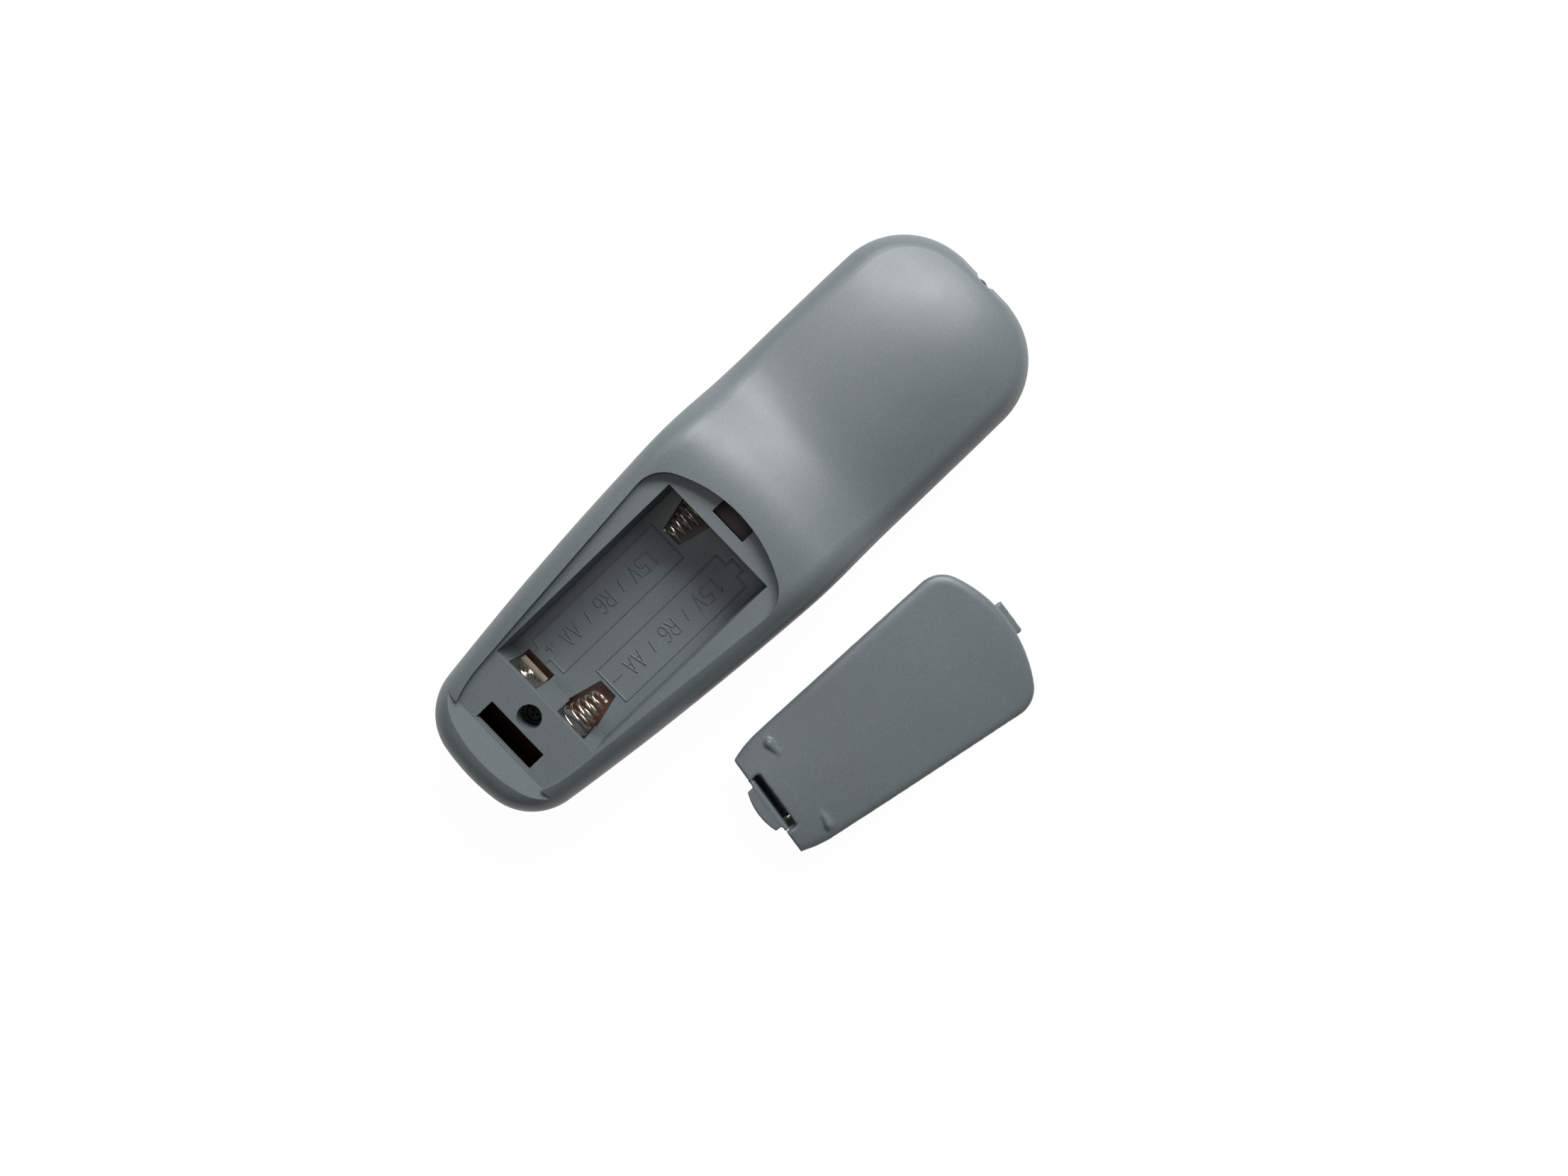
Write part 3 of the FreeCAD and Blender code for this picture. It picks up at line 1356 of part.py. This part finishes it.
os.makedirs("parts", exist_ok=True)
for name, made in subParts.items():
    made.Shape.exportStep(f"parts/{name}.step")
    print(f"{name}: {len(made.Shape.Solids)} solid, {made.Shape.Volume:.1f} cubic mm")
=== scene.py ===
import json
import math

import bmesh
import bpy
from mathutils import Matrix, Vector
from mathutils.bvhtree import BVHTree


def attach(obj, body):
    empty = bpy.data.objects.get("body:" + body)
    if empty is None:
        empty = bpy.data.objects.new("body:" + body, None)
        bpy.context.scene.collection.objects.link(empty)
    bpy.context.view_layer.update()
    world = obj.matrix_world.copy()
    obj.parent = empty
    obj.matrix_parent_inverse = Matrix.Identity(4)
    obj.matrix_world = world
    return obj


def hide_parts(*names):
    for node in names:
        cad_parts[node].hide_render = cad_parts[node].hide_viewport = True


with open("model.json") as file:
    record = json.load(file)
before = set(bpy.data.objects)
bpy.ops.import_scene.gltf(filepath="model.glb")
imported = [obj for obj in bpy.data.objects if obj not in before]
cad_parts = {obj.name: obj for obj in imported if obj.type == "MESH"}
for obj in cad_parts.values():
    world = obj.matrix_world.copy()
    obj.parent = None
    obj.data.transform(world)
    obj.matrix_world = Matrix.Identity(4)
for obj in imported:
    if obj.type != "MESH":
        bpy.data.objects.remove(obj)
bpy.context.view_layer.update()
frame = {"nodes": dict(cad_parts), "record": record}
mm = 0.001


def fromHex(code):
    # sRGB hex to the linear colour that Blender's sockets take
    parts = [int(code[start:start + 2], 16) / 255 for start in (1, 3, 5)]
    return [part / 12.92 if part <= 0.04045 else ((part + 0.055) / 1.055) ** 2.4 for part in parts] + [1]


def addNode(tree, kind, settings=None, **links):
    # a socket goes by its name, or by its number as i0; it takes a value, or another node's output
    node = tree.nodes.new(kind)
    for name, value in (settings or {}).items():
        setattr(node, name, value)
    for name, value in links.items():
        numbered = name[0] == "i" and name[1:].isdigit()
        socket = node.inputs[int(name[1:]) if numbered else name.replace("_", " ")]
        if isinstance(value, bpy.types.NodeSocket):
            tree.links.new(value, socket)
        else:
            socket.default_value = value
    return node


def startMaterial(name):
    material = bpy.data.materials.new(name)
    material.use_nodes = True
    material.node_tree.nodes.clear()
    return material, material.node_tree


def finishMaterial(material, shader):
    addNode(material.node_tree, "ShaderNodeOutputMaterial", Surface=shader.outputs[0])
    return material


# ABS, injection moulded in a spark-eroded tool: a satin blue grey with a fine even grain,
# and lighter flecks for the aluminium pigment in it: the flecks are real, their lightness is a painted glint
caseSettings = {
    "colour": "#6b7376",
    # the painted glint: a lighter colour that the pigment's flecks take under any light
    "paintedGlint": "#7f8789",
    "paintedGlintFrom": (0.5, 0.8),  # heights of the grain between which it turns to the painted glint
    "roughness": (0.38, 0.44),
    "grain": 0.3,  # mm, coarser than the real 0.1 mm, so that it shows
    "depth": 0.006,  # mm
    "mottle": 9.0,  # mm, the size of its glossier and duller patches
    "mottleFrom": (0.3, 0.7),  # heights of that pattern between which it turns from glossy to dull
    "edge": 0.2,  # mm, the radius that the tool leaves on every edge
}
# the cover's is the same, a touch darker and with rounder edges
coverPlasticSettings = dict(caseSettings, colour="#697174", edge=0.5)


def texturedAbs(name, settings):
    material, tree = startMaterial(name)
    place = addNode(tree, "ShaderNodeTexCoord").outputs["Object"]
    fine = addNode(tree, "ShaderNodeTexNoise", Vector=place, Scale=1 / (settings["grain"] * mm),
                   Detail=2.0, Roughness=0.6)
    broad = addNode(tree, "ShaderNodeTexNoise", Vector=place, Scale=1 / (settings["mottle"] * mm), Detail=3.0)
    paintedGlintLow, paintedGlintHigh = settings["paintedGlintFrom"]
    paintedGlints = addNode(tree, "ShaderNodeMapRange", Value=fine.outputs["Fac"],
                     From_Min=paintedGlintLow, From_Max=paintedGlintHigh)
    # the grain's highest spots take the painted glint colour
    tone = addNode(tree, "ShaderNodeMix", {"data_type": "RGBA"}, i0=paintedGlints.outputs[0],
                   i6=fromHex(settings["colour"]), i7=fromHex(settings["paintedGlint"]))
    mottleLow, mottleHigh = settings["mottleFrom"]
    glossiest, dullest = settings["roughness"]
    gloss = addNode(tree, "ShaderNodeMapRange", Value=broad.outputs["Fac"],
                    From_Min=mottleLow, From_Max=mottleHigh, To_Min=glossiest, To_Max=dullest)
    edges = addNode(tree, "ShaderNodeBevel", {"samples": 6}, Radius=settings["edge"] * mm)
    bump = addNode(tree, "ShaderNodeBump", Height=fine.outputs["Fac"], Strength=1.0,
                   Distance=settings["depth"] * mm, Normal=edges.outputs[0])
    shader = addNode(tree, "ShaderNodeBsdfPrincipled", Base_Color=tone.outputs[2], Roughness=gloss.outputs[0],
                     IOR=1.54, Normal=bump.outputs[0])
    return finishMaterial(material, shader)


# spring steel wire and strip, nickel plated: warm bright metal, drawn or rolled smooth,
# with faint uneven patches that blur what it mirrors a little
nickelSettings = {
    "colour": "#d2ccc0",
    "roughness": (0.2, 0.3),
    "patch": 1.5,  # mm
    "depth": 0.0003,  # mm
}
# the case's screw: the same steel, near black and dull, which is painted shade for the dark hole it sits in
screwPaintedShadeSettings = dict(nickelSettings, colour="#2a2a2b", roughness=(0.46, 0.56))


def platedSteel(name, settings):
    material, tree = startMaterial(name)
    place = addNode(tree, "ShaderNodeTexCoord").outputs["Object"]
    patches = addNode(tree, "ShaderNodeTexNoise", Vector=place, Scale=1 / (settings["patch"] * mm),
                      Detail=0.5)
    glossiest, dullest = settings["roughness"]
    gloss = addNode(tree, "ShaderNodeMapRange", Value=patches.outputs["Fac"],
                    To_Min=glossiest, To_Max=dullest)
    bump = addNode(tree, "ShaderNodeBump", Height=patches.outputs["Fac"], Strength=1.0,
                   Distance=settings["depth"] * mm)
    shader = addNode(tree, "ShaderNodeBsdfPrincipled", Base_Color=fromHex(settings["colour"]), Metallic=1.0,
                     Roughness=gloss.outputs[0], Normal=bump.outputs[0])
    return finishMaterial(material, shader)


# paper laminate circuit board under a dark red brown lacquer: glossy, with its fibres just showing
boardSettings = {
    "dark": "#3a1c14",
    "light": "#5c2c1b",
    "roughness": 0.3,
    "fibre": 0.8,  # mm, coarser than the real ones, so that they show
    "depth": 0.02,  # mm
    "strength": 0.4,
}


def lacqueredBoard(name, settings):
    material, tree = startMaterial(name)
    place = addNode(tree, "ShaderNodeTexCoord").outputs["Object"]
    fibres = addNode(tree, "ShaderNodeTexNoise", Vector=place, Scale=1 / (settings["fibre"] * mm), Detail=5.0)
    tone = addNode(tree, "ShaderNodeMix", {"data_type": "RGBA"}, i0=fibres.outputs["Fac"],
                   i6=fromHex(settings["dark"]), i7=fromHex(settings["light"]))
    bump = addNode(tree, "ShaderNodeBump", Height=fibres.outputs["Fac"], Strength=settings["strength"],
                   Distance=settings["depth"] * mm)
    shader = addNode(tree, "ShaderNodeBsdfPrincipled", Base_Color=tone.outputs[2],
                     Roughness=settings["roughness"], IOR=1.5, Normal=bump.outputs[0])
    return finishMaterial(material, shader)


# small mouldings and dipped coats: one colour that varies a little, under a light orange-peel
coatSettings = {
    "peel": 0.6,  # mm, from wave to wave
    "depth": 0.01,  # mm
    "strength": 0.5,
    "levels": (0.9, 1.1),  # the colour's brightness varies between these
}


def mouldedCoat(name, colour, roughness, ior=1.5):
    material, tree = startMaterial(name)
    place = addNode(tree, "ShaderNodeTexCoord").outputs["Object"]
    waves = addNode(tree, "ShaderNodeTexNoise", Vector=place, Scale=1 / (coatSettings["peel"] * mm),
                    Detail=2.0)
    dimmest, brightest = coatSettings["levels"]
    level = addNode(tree, "ShaderNodeMapRange", Value=waves.outputs["Fac"], To_Min=dimmest, To_Max=brightest)
    tone = addNode(tree, "ShaderNodeVectorMath", {"operation": "SCALE"}, i0=fromHex(colour)[:3],
                   Scale=level.outputs[0])
    bump = addNode(tree, "ShaderNodeBump", Height=waves.outputs["Fac"], Strength=coatSettings["strength"],
                   Distance=coatSettings["depth"] * mm)
    shader = addNode(tree, "ShaderNodeBsdfPrincipled", Base_Color=tone.outputs[0], Roughness=roughness,
                     IOR=ior, Normal=bump.outputs[0])
    return finishMaterial(material, shader)


finishes = {
    "case_plastic": texturedAbs("texturedAbsCase", caseSettings),
    "cover_plastic": texturedAbs("texturedAbsCover", coverPlasticSettings),
    "key_plastic": mouldedCoat("satinAbsKey", "#4a4f52", 0.38, 1.54),  # dark grey with a soft sheen
    "key_rubber": mouldedCoat("mouldedSilicone", "#3c3e40", 0.6, 1.41),  # dull, with no clear highlight
    "board_laminate": lacqueredBoard("lacqueredPaperLaminate", boardSettings),
    "lens_plastic": mouldedCoat("castTintedEpoxy", "#1d1622", 0.08, 1.55),  # near black, sharp highlights
    "chip_plastic": mouldedCoat("mouldedBlackEpoxy", "#1c1c1d", 0.55),  # flat black
    "resonator_ceramic": mouldedCoat("dippedPhenolic", "#b4561e", 0.3),  # glossy orange brown
    "capacitor_sleeve": mouldedCoat("shrunkSleeve", "#1f2a44", 0.3),  # glossy dark blue film
    "plated_spring_steel": platedSteel("nickelPlatedSpringSteel", nickelSettings),
    # the screw's near-black colour is painted shade for its hole
    "screw_steel": platedSteel("screwSteelPaintedDark", screwPaintedShadeSettings),
}
slotOf = {part["node"]: part["material_slot"] for part in frame["record"]["subparts"]}
for node, piece in frame["nodes"].items():
    piece.data.materials.clear()
    piece.data.materials.append(finishes[slotOf[node]])
print("finishes on", len(frame["nodes"]), "CAD pieces")


def addPiece(name, mesh, slot, body):
    mesh.materials.clear()
    mesh.materials.append(finishes[slot])
    piece = bpy.data.objects.new(name, mesh)
    bpy.context.scene.collection.objects.link(piece)
    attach(piece, body)
    return piece


def meshFrom(name, points, faces):
    mesh = bpy.data.meshes.new(name)
    mesh.from_pydata([tuple(point) for point in points], [], faces)
    shape = bmesh.new()
    shape.from_mesh(mesh)
    bmesh.ops.recalc_face_normals(shape, faces=shape.faces)
    shape.to_mesh(mesh)
    shape.free()
    return mesh


def evenMesh(piece, voxel, weld=0.01):
    # a close even mesh, so that every edge can run round; both sizes are in mm
    piece.modifiers.new("joined", "WELD").merge_threshold = weld * mm
    even = piece.modifiers.new("even", "REMESH")
    even.mode = "VOXEL"
    even.voxel_size = voxel * mm
    even.use_smooth_shade = True


def easeEdges(piece, rounds, factor=0.5):
    eased = piece.modifiers.new("eased", "SMOOTH")
    eased.factor = factor
    eased.iterations = rounds


# the cover lies on its latch's bend and its tab; it was drawn in the frame of the seat that it fits
coverLay = {
    "beside": (59.1, -4.0, 0),  # mm, where the cover lies
    "turn": -7.4,  # degrees
    "bend": (-68.0, -6.2),  # the latch's bend in the seat's frame, along and up
    "bendRadius": 2.0,
    "tab": (4.95, -1.55),  # the tab's lower edge, along and up
    "middle": -33.975,  # halfway along the cover
}


def besideMatrix(lay):
    alongRun = lay["tab"][0] - lay["bend"][0]
    riseRun = lay["tab"][1] - lay["bend"][1]
    tilt = math.atan2(riseRun, alongRun) + math.asin(lay["bendRadius"] / math.hypot(alongRun, riseRun))
    flat = Matrix.Rotation(-tilt, 4, "X")
    low = (flat @ Vector((0, lay["tab"][0], lay["tab"][1]))).z
    middle = (flat @ Vector((0, lay["middle"], 0))).y
    turn = Matrix.Rotation(math.radians(lay["turn"]), 4, "Z")
    return Matrix.Translation(lay["beside"]) @ turn @ Matrix.Translation((0, -middle, -low)) @ flat


beside = besideMatrix(coverLay)

# the cover's outer edge rolls over softly at its sides and head, and is crisp at its tail
coverSettings = {
    "roll": 2.6,  # mm inwards from the edge
    "drop": 1.35,
    "thickness": 2.4,
    "voxel": 0.36,
    "rounds": 4,
    "steepest": 0.5,  # a wall's normal rises less than this
    "wallFoot": 0.2,  # and its middle lies above this
    "notchReach": (7.8, -67.5),  # the latch's notch lies within this x and beyond this y
    "gripReach": (13.3, -50.0),  # and the grips within this
    "tailEdge": -70.4,
}
latchSettings = {"voxel": 0.24, "rounds": 3}


def outerWalls(mesh, settings):
    # the upright faces round the cover's sides and head, in the seat's frame and in mm
    intoSeat = beside.inverted()
    points = [intoSeat @ (vertex.co / mm) for vertex in mesh.vertices]
    reaches = [settings["notchReach"], settings["gripReach"]]
    walls = []
    for face in mesh.polygons:
        corners = [points[index] for index in face.vertices]
        middle = sum(corners, Vector()) / len(corners)
        rise = abs((intoSeat.to_3x3() @ face.normal).z)
        upright = rise < settings["steepest"] and middle.z > settings["wallFoot"]
        inner = any(abs(middle.x) < across and middle.y < along for across, along in reaches)
        if upright and not inner and middle.y > settings["tailEdge"]:
            walls.append(face.vertices)
    return BVHTree.FromPolygons(points, walls)


def roundedCover(settings):
    solid = frame["nodes"]["battery_cover"].data
    blank = bpy.data.objects.new("coverBlank", solid)
    bpy.context.scene.collection.objects.link(blank)
    evenMesh(blank, settings["voxel"])
    mesh = bpy.data.meshes.new_from_object(blank.evaluated_get(bpy.context.evaluated_depsgraph_get()))
    bpy.data.objects.remove(blank)
    walls = outerWalls(solid, settings)
    intoSeat = beside.inverted()
    for vertex in mesh.vertices:
        place = intoSeat @ (vertex.co / mm)
        away = walls.find_nearest(place)[3]
        if place.z > 0 and away < settings["roll"]:
            share = 1 - away / settings["roll"]
            fall = settings["drop"] * (1 - math.sqrt(1 - share * share))
            place.z *= 1 - fall / settings["thickness"]
            vertex.co = (beside @ place) * mm
    cover = addPiece("roundedCover", mesh, "cover_plastic", "cover")
    easeEdges(cover, settings["rounds"])
    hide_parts("battery_cover")
    print("cover rounded,", len(mesh.vertices), "points")


roundedCover(coverSettings)
evenMesh(frame["nodes"]["cover_latch"], latchSettings["voxel"])
easeEdges(frame["nodes"]["cover_latch"], latchSettings["rounds"])


# battery outlines on the bay's floor, each with the button of its cell, and the signs at their ends
outlineSettings = {
    "wide": 0.5,  # mm
    "high": 0.24,
    "sunk": 0.1,
    "shoulder": (0.42, 0.7),  # where its side turns over, as shares of its width and height
    "crown": 0.2,  # half of its top, as a share of its width
    "step": 0.5,
    "above": 40,  # the height from which the floor is looked for
    "floor": (4.0, 21.0),  # the heights between which a surface is the bay's floor
    "outlines": {
        "rightOutline": [
            (6.05, -6.0), (6.05, -8.0), (2.81, -8.0), (2.81, -47.8),
            (13.04, -47.8), (13.04, -8.0), (9.8, -8.0), (9.8, -6.0),
        ],
        "leftOutline": [
            (-10.65, -56.0), (-10.65, -53.9), (-13.1, -53.9), (-13.1, -14.06),
            (-2.3, -14.06), (-2.3, -53.9), (-6.9, -53.9), (-6.9, -56.0),
        ],
    },
    "signs": {
        "plusSign": [
            [(-10.2, -52.1), (-8.0, -52.1)],
            [(-9.1, -51.87), (-9.1, -51.0)],
            [(-9.1, -52.33), (-9.1, -53.2)],
        ],
        "minusSign": [[(7.58, -43.9), (7.58, -46.6)]],
    },
}

# the usual marking for the cells' voltage and size, in thin raised strokes that read from head to tail
wordSettings = {
    "words": "1.5V / R6 / AA",
    "tall": 4.3,  # mm
    "wide": 0.36,  # of a stroke
    "gap": 0.72,  # after each letter
    "space": 2.3,
    "feet": {"leftWords": (-9.9, -18.6), "rightWords": (5.7, -12.2)},  # where the first letter stands
}
# each letter's width and its strokes, as shares of its height
letters = {
    "1": (0.22, [[(0.0, 0.82), (0.18, 1.0), (0.18, 0.0)]]),
    ".": (0.1, [[(0.04, 0.0), (0.04, 0.1)]]),
    "5": (0.45, [
        [(0.43, 1.0), (0.06, 1.0), (0.02, 0.56), (0.26, 0.61),
         (0.43, 0.46), (0.43, 0.16), (0.25, 0.0), (0.0, 0.09)],
    ]),
    "V": (0.46, [[(0.0, 1.0), (0.23, 0.0)], [(0.46, 1.0), (0.23, 0.0)]]),
    "/": (0.14, [[(0.0, 0.15), (0.14, 0.85)]]),
    "R": (0.43, [
        [(0.0, 0.0), (0.0, 1.0), (0.28, 1.0), (0.41, 0.87), (0.41, 0.64), (0.28, 0.5), (0.0, 0.5)],
        [(0.24, 0.5), (0.43, 0.0)],
    ]),
    "6": (0.42, [
        [(0.38, 0.92), (0.25, 1.0), (0.1, 0.93), (0.0, 0.65), (0.0, 0.25), (0.1, 0.04),
         (0.25, 0.0), (0.37, 0.08), (0.42, 0.28), (0.36, 0.48), (0.22, 0.55), (0.06, 0.46)],
    ]),
    "A": (0.46, [[(0.0, 0.0), (0.23, 1.0)], [(0.46, 0.0), (0.23, 1.0)], [(0.1, 0.34), (0.36, 0.34)]]),
}
caseMesh = frame["nodes"]["rear_case"].data
caseTree = BVHTree.FromPolygons([vertex.co for vertex in caseMesh.vertices],
                                [face.vertices for face in caseMesh.polygons])


def floorAt(x, y):
    # the height of the bay's floor in mm, or None where it is open
    hit = caseTree.ray_cast(Vector((x, y, outlineSettings["above"])) * mm, Vector((0, 0, -1)))[0]
    low, high = outlineSettings["floor"]
    if hit is None or not low < hit.z / mm < high:
        return None
    return hit.z / mm


def samplesAlong(corners, closed, step):
    # points along the line, each with the way across it, mitred at the corners
    samples = []
    count = len(corners)
    for index in range(count):
        here = Vector(corners[index])
        ahead = Vector(corners[(index + 1) % count]) - here
        behind = here - Vector(corners[index - 1])
        if not closed and index == 0:
            behind = ahead
        if not closed and index == count - 1:
            ahead = behind
        across = Vector((-ahead.y, ahead.x)).normalized()
        acrossBefore = Vector((-behind.y, behind.x)).normalized()
        samples.append((here, (across + acrossBefore) / (1 + across.dot(acrossBefore))))
        if closed or index < count - 1:
            parts = max(1, round(ahead.length / step))
            samples += [(here + ahead * k / parts, across) for k in range(1, parts)]
    return samples


def ridgeProfile(settings):
    # points round a ridge's section: a share of its width across, and a height over the floor
    shoulderAcross, shoulderRise = settings["shoulder"]
    half = [
        (0.5, -settings["sunk"]),
        (shoulderAcross, shoulderRise * settings["high"]),
        (settings["crown"], settings["high"]),
    ]
    return [(-share, rise) for share, rise in half] + half[::-1]


def ridgeFaces(corners, closed, wide, first):
    # a low rounded ridge that follows the floor under it, broken where the floor is open
    profile = ridgeProfile(outlineSettings)
    size = len(profile)
    points, faces, starts = [], [], []
    for place, across in samplesAlong(corners, closed, outlineSettings["step"]):
        spots = [(place + across * wide * share, rise) for share, rise in profile]
        heights = [floorAt(spot.x, spot.y) for spot, rise in spots]
        if None in heights:
            starts.append(None)
            continue
        starts.append(first + len(points))
        points += [Vector((spot.x, spot.y, z + rise)) * mm for (spot, rise), z in zip(spots, heights)]
    after = starts[1:] + [starts[0] if closed else None]
    before = [starts[-1] if closed else None] + starts[:-1]
    for start, following, previous in zip(starts, after, before):
        if start is None:
            continue
        if following is not None:
            faces += [(start + k, start + (k + 1) % size, following + (k + 1) % size, following + k)
                      for k in range(size)]
        if (following is None) != (previous is None):
            faces.append(tuple(start + k for k in range(size)))
    return points, faces, starts.count(None)


def addRidges(name, lines, closed, wide):
    points, faces, missed = [], [], 0
    for corners in lines:
        morePoints, moreFaces, moreMissed = ridgeFaces(corners, closed, wide, len(points))
        points += morePoints
        faces += moreFaces
        missed += moreMissed
    addPiece(name, meshFrom(name, points, faces), "case_plastic", "handset")
    print(name, "of", len(lines), "ridges,", missed, "steps over openings")


def wordStrokes(settings, foot):
    # the words run towards the tail, with the tops of their letters towards the right
    tall = settings["tall"]
    lines, along = [], 0
    for letter in settings["words"]:
        if letter == " ":
            along += settings["space"]
            continue
        width, strokes = letters[letter]
        for stroke in strokes:
            lines.append([(foot[0] + up * tall, foot[1] - along - run * tall) for run, up in stroke])
        along += width * tall + settings["gap"]
    return lines


for name, corners in outlineSettings["outlines"].items():
    addRidges(name, [corners], True, outlineSettings["wide"])
for name, lines in outlineSettings["signs"].items():
    addRidges(name, lines, False, outlineSettings["wide"])
for name, foot in wordSettings["feet"].items():
    addRidges(name, wordStrokes(wordSettings, foot), False, wordSettings["wide"])


# webs beside the latch, under the cover's notch, in the frame of the seat that the cover fits
webSettings = {
    "sides": (7.35, 8.15),  # mm from the middle line, clear of the latch's leg and inside the slot
    "tailEnd": -70.2,
    "headEnd": -66.1,
    "top": 0.3,
    "foot": -6.05,  # where its round lower end begins
    "roundSteps": 12,
    "edge": 0.2,
    "edgeSteps": 3,
}


def addWeb(name, side, settings):
    halfLength = (settings["headEnd"] - settings["tailEnd"]) / 2
    middle = (settings["headEnd"] + settings["tailEnd"]) / 2
    outline = [(settings["tailEnd"], settings["top"])]
    for step in range(settings["roundSteps"] + 1):
        angle = math.pi * (1 + step / settings["roundSteps"])
        along = middle + halfLength * math.cos(angle)
        outline.append((along, settings["foot"] + halfLength * math.sin(angle)))
    outline.append((settings["headEnd"], settings["top"]))
    points = [beside @ Vector((side * x, y, z)) * mm for x in settings["sides"] for y, z in outline]
    count = len(outline)
    faces = [tuple(range(count)), tuple(range(2 * count - 1, count - 1, -1))]
    faces += [(k, (k + 1) % count, count + (k + 1) % count, count + k) for k in range(count)]
    web = addPiece(name, meshFrom(name, points, faces), "cover_plastic", "cover")
    bevel = web.modifiers.new("easedEdges", "BEVEL")
    bevel.width = settings["edge"] * mm
    bevel.segments = settings["edgeSteps"]


addWeb("leftLatchWeb", -1, webSettings)
addWeb("rightLatchWeb", 1, webSettings)
print("outlines, signs, words and latch webs added")


# the photograph's place: above the table, with the handset aslant from lower left to upper right
cameraSettings = {
    "over": (4.515, -5.37, 216.4),  # mm, straight above this point of the table
    "right": (0.6924, 0.7215, 0),  # the picture's right and up, in the part's frame
    "up": (-0.7215, 0.6924, 0),
    "lens": 19.97,  # mm
    "frameWidth": 36,  # mm
    "shift": (0.0350, -0.0222),
    "nearest": 10,  # mm, what is closer isn't drawn
}


def addCamera(settings):
    data = bpy.data.cameras.new("camera")
    data.sensor_width = settings["frameWidth"]
    data.lens = settings["lens"]
    data.shift_x, data.shift_y = settings["shift"]
    data.clip_start = settings["nearest"] * mm
    camera = bpy.data.objects.new("camera", data)
    right = Vector(settings["right"]).normalized()
    up = Vector(settings["up"]).normalized()
    turn = Matrix((right, up, right.cross(up))).transposed().to_4x4()
    camera.matrix_world = Matrix.Translation(Vector(settings["over"]) * mm) @ turn
    bpy.context.scene.collection.objects.link(camera)
    bpy.context.scene.camera = camera


addCamera(cameraSettings)

# matt paper: grey to the light that falls on it, so that it doesn't light the part's sides too much,
# and mostly plain white to the camera and in what shines
floorSettings = {
    "size": 3000,  # mm
    "colour": "#757575",
    "roughness": 0.9,
    "white": 1.22,
    "seen": 0.8,  # the share of that plain white
}


def addFloor(settings):
    mesh = bpy.data.meshes.new("floor")
    half = settings["size"] / 2 * mm
    corners = [(-half, -half, 0), (half, -half, 0), (half, half, 0), (-half, half, 0)]
    mesh.from_pydata(corners, [], [(0, 1, 2, 3)])
    floor = bpy.data.objects.new("floor", mesh)
    bpy.context.scene.collection.objects.link(floor)
    material, tree = startMaterial("whitePaper")
    rays = addNode(tree, "ShaderNodeLightPath")
    seen = addNode(tree, "ShaderNodeMath", {"operation": "MAXIMUM"}, i0=rays.outputs["Is Camera Ray"],
                   i1=rays.outputs["Is Glossy Ray"])
    share = addNode(tree, "ShaderNodeMath", {"operation": "MULTIPLY"}, i0=seen.outputs[0],
                    i1=settings["seen"])
    paper = addNode(tree, "ShaderNodeBsdfPrincipled", Base_Color=fromHex(settings["colour"]),
                    Roughness=settings["roughness"])
    white = addNode(tree, "ShaderNodeEmission", Color=(1, 1, 1, 1), Strength=settings["white"])
    mixed = addNode(tree, "ShaderNodeMixShader", i0=share.outputs[0], i1=paper.outputs[0],
                    i2=white.outputs[0])
    mesh.materials.append(finishMaterial(material, mixed))


addFloor(floorSettings)

# each lamp: the way it comes from in the part's frame, its distance and size in mm, and its power
lamps = {
    "window": {"from": (-0.43, 0.9, 0.85), "distance": 700, "size": (560, 330), "watts": 6.0},
    "leftFill": {"from": (-1.0, 0.2, 0.55), "distance": 700, "size": (400, 300), "watts": 0.8},
    "ceiling": {"from": (0.0, -0.1, 1.0), "distance": 900, "size": (400, 400), "watts": 0.6},
}


def addLamp(name, settings):
    data = bpy.data.lights.new(name, "AREA")
    data.shape = "RECTANGLE"
    data.size, data.size_y = [edge * mm for edge in settings["size"]]
    data.energy = settings["watts"]
    lamp = bpy.data.objects.new(name, data)
    way = Vector(settings["from"]).normalized()
    lamp.location = way * settings["distance"] * mm
    lamp.rotation_euler = way.to_track_quat("Z", "Y").to_euler()
    bpy.context.scene.collection.objects.link(lamp)


for name, settings in lamps.items():
    addLamp(name, settings)

roomSettings = {"light": 0.06, "seen": 1.0}  # how bright the room is to the part, and to the camera itself


def addRoom(settings):
    world = bpy.data.worlds.new("room")
    bpy.context.scene.world = world
    world.use_nodes = True
    tree = world.node_tree
    tree.nodes.clear()
    rays = addNode(tree, "ShaderNodeLightPath")
    level = addNode(tree, "ShaderNodeMapRange", Value=rays.outputs["Is Camera Ray"],
                    To_Min=settings["light"], To_Max=settings["seen"])
    sky = addNode(tree, "ShaderNodeBackground", Color=(1, 1, 1, 1), Strength=level.outputs[0])
    addNode(tree, "ShaderNodeOutputWorld", Surface=sky.outputs[0])


addRoom(roomSettings)
bpy.context.scene.view_settings.view_transform = "Standard"
print("camera, floor, lamps and room in place")
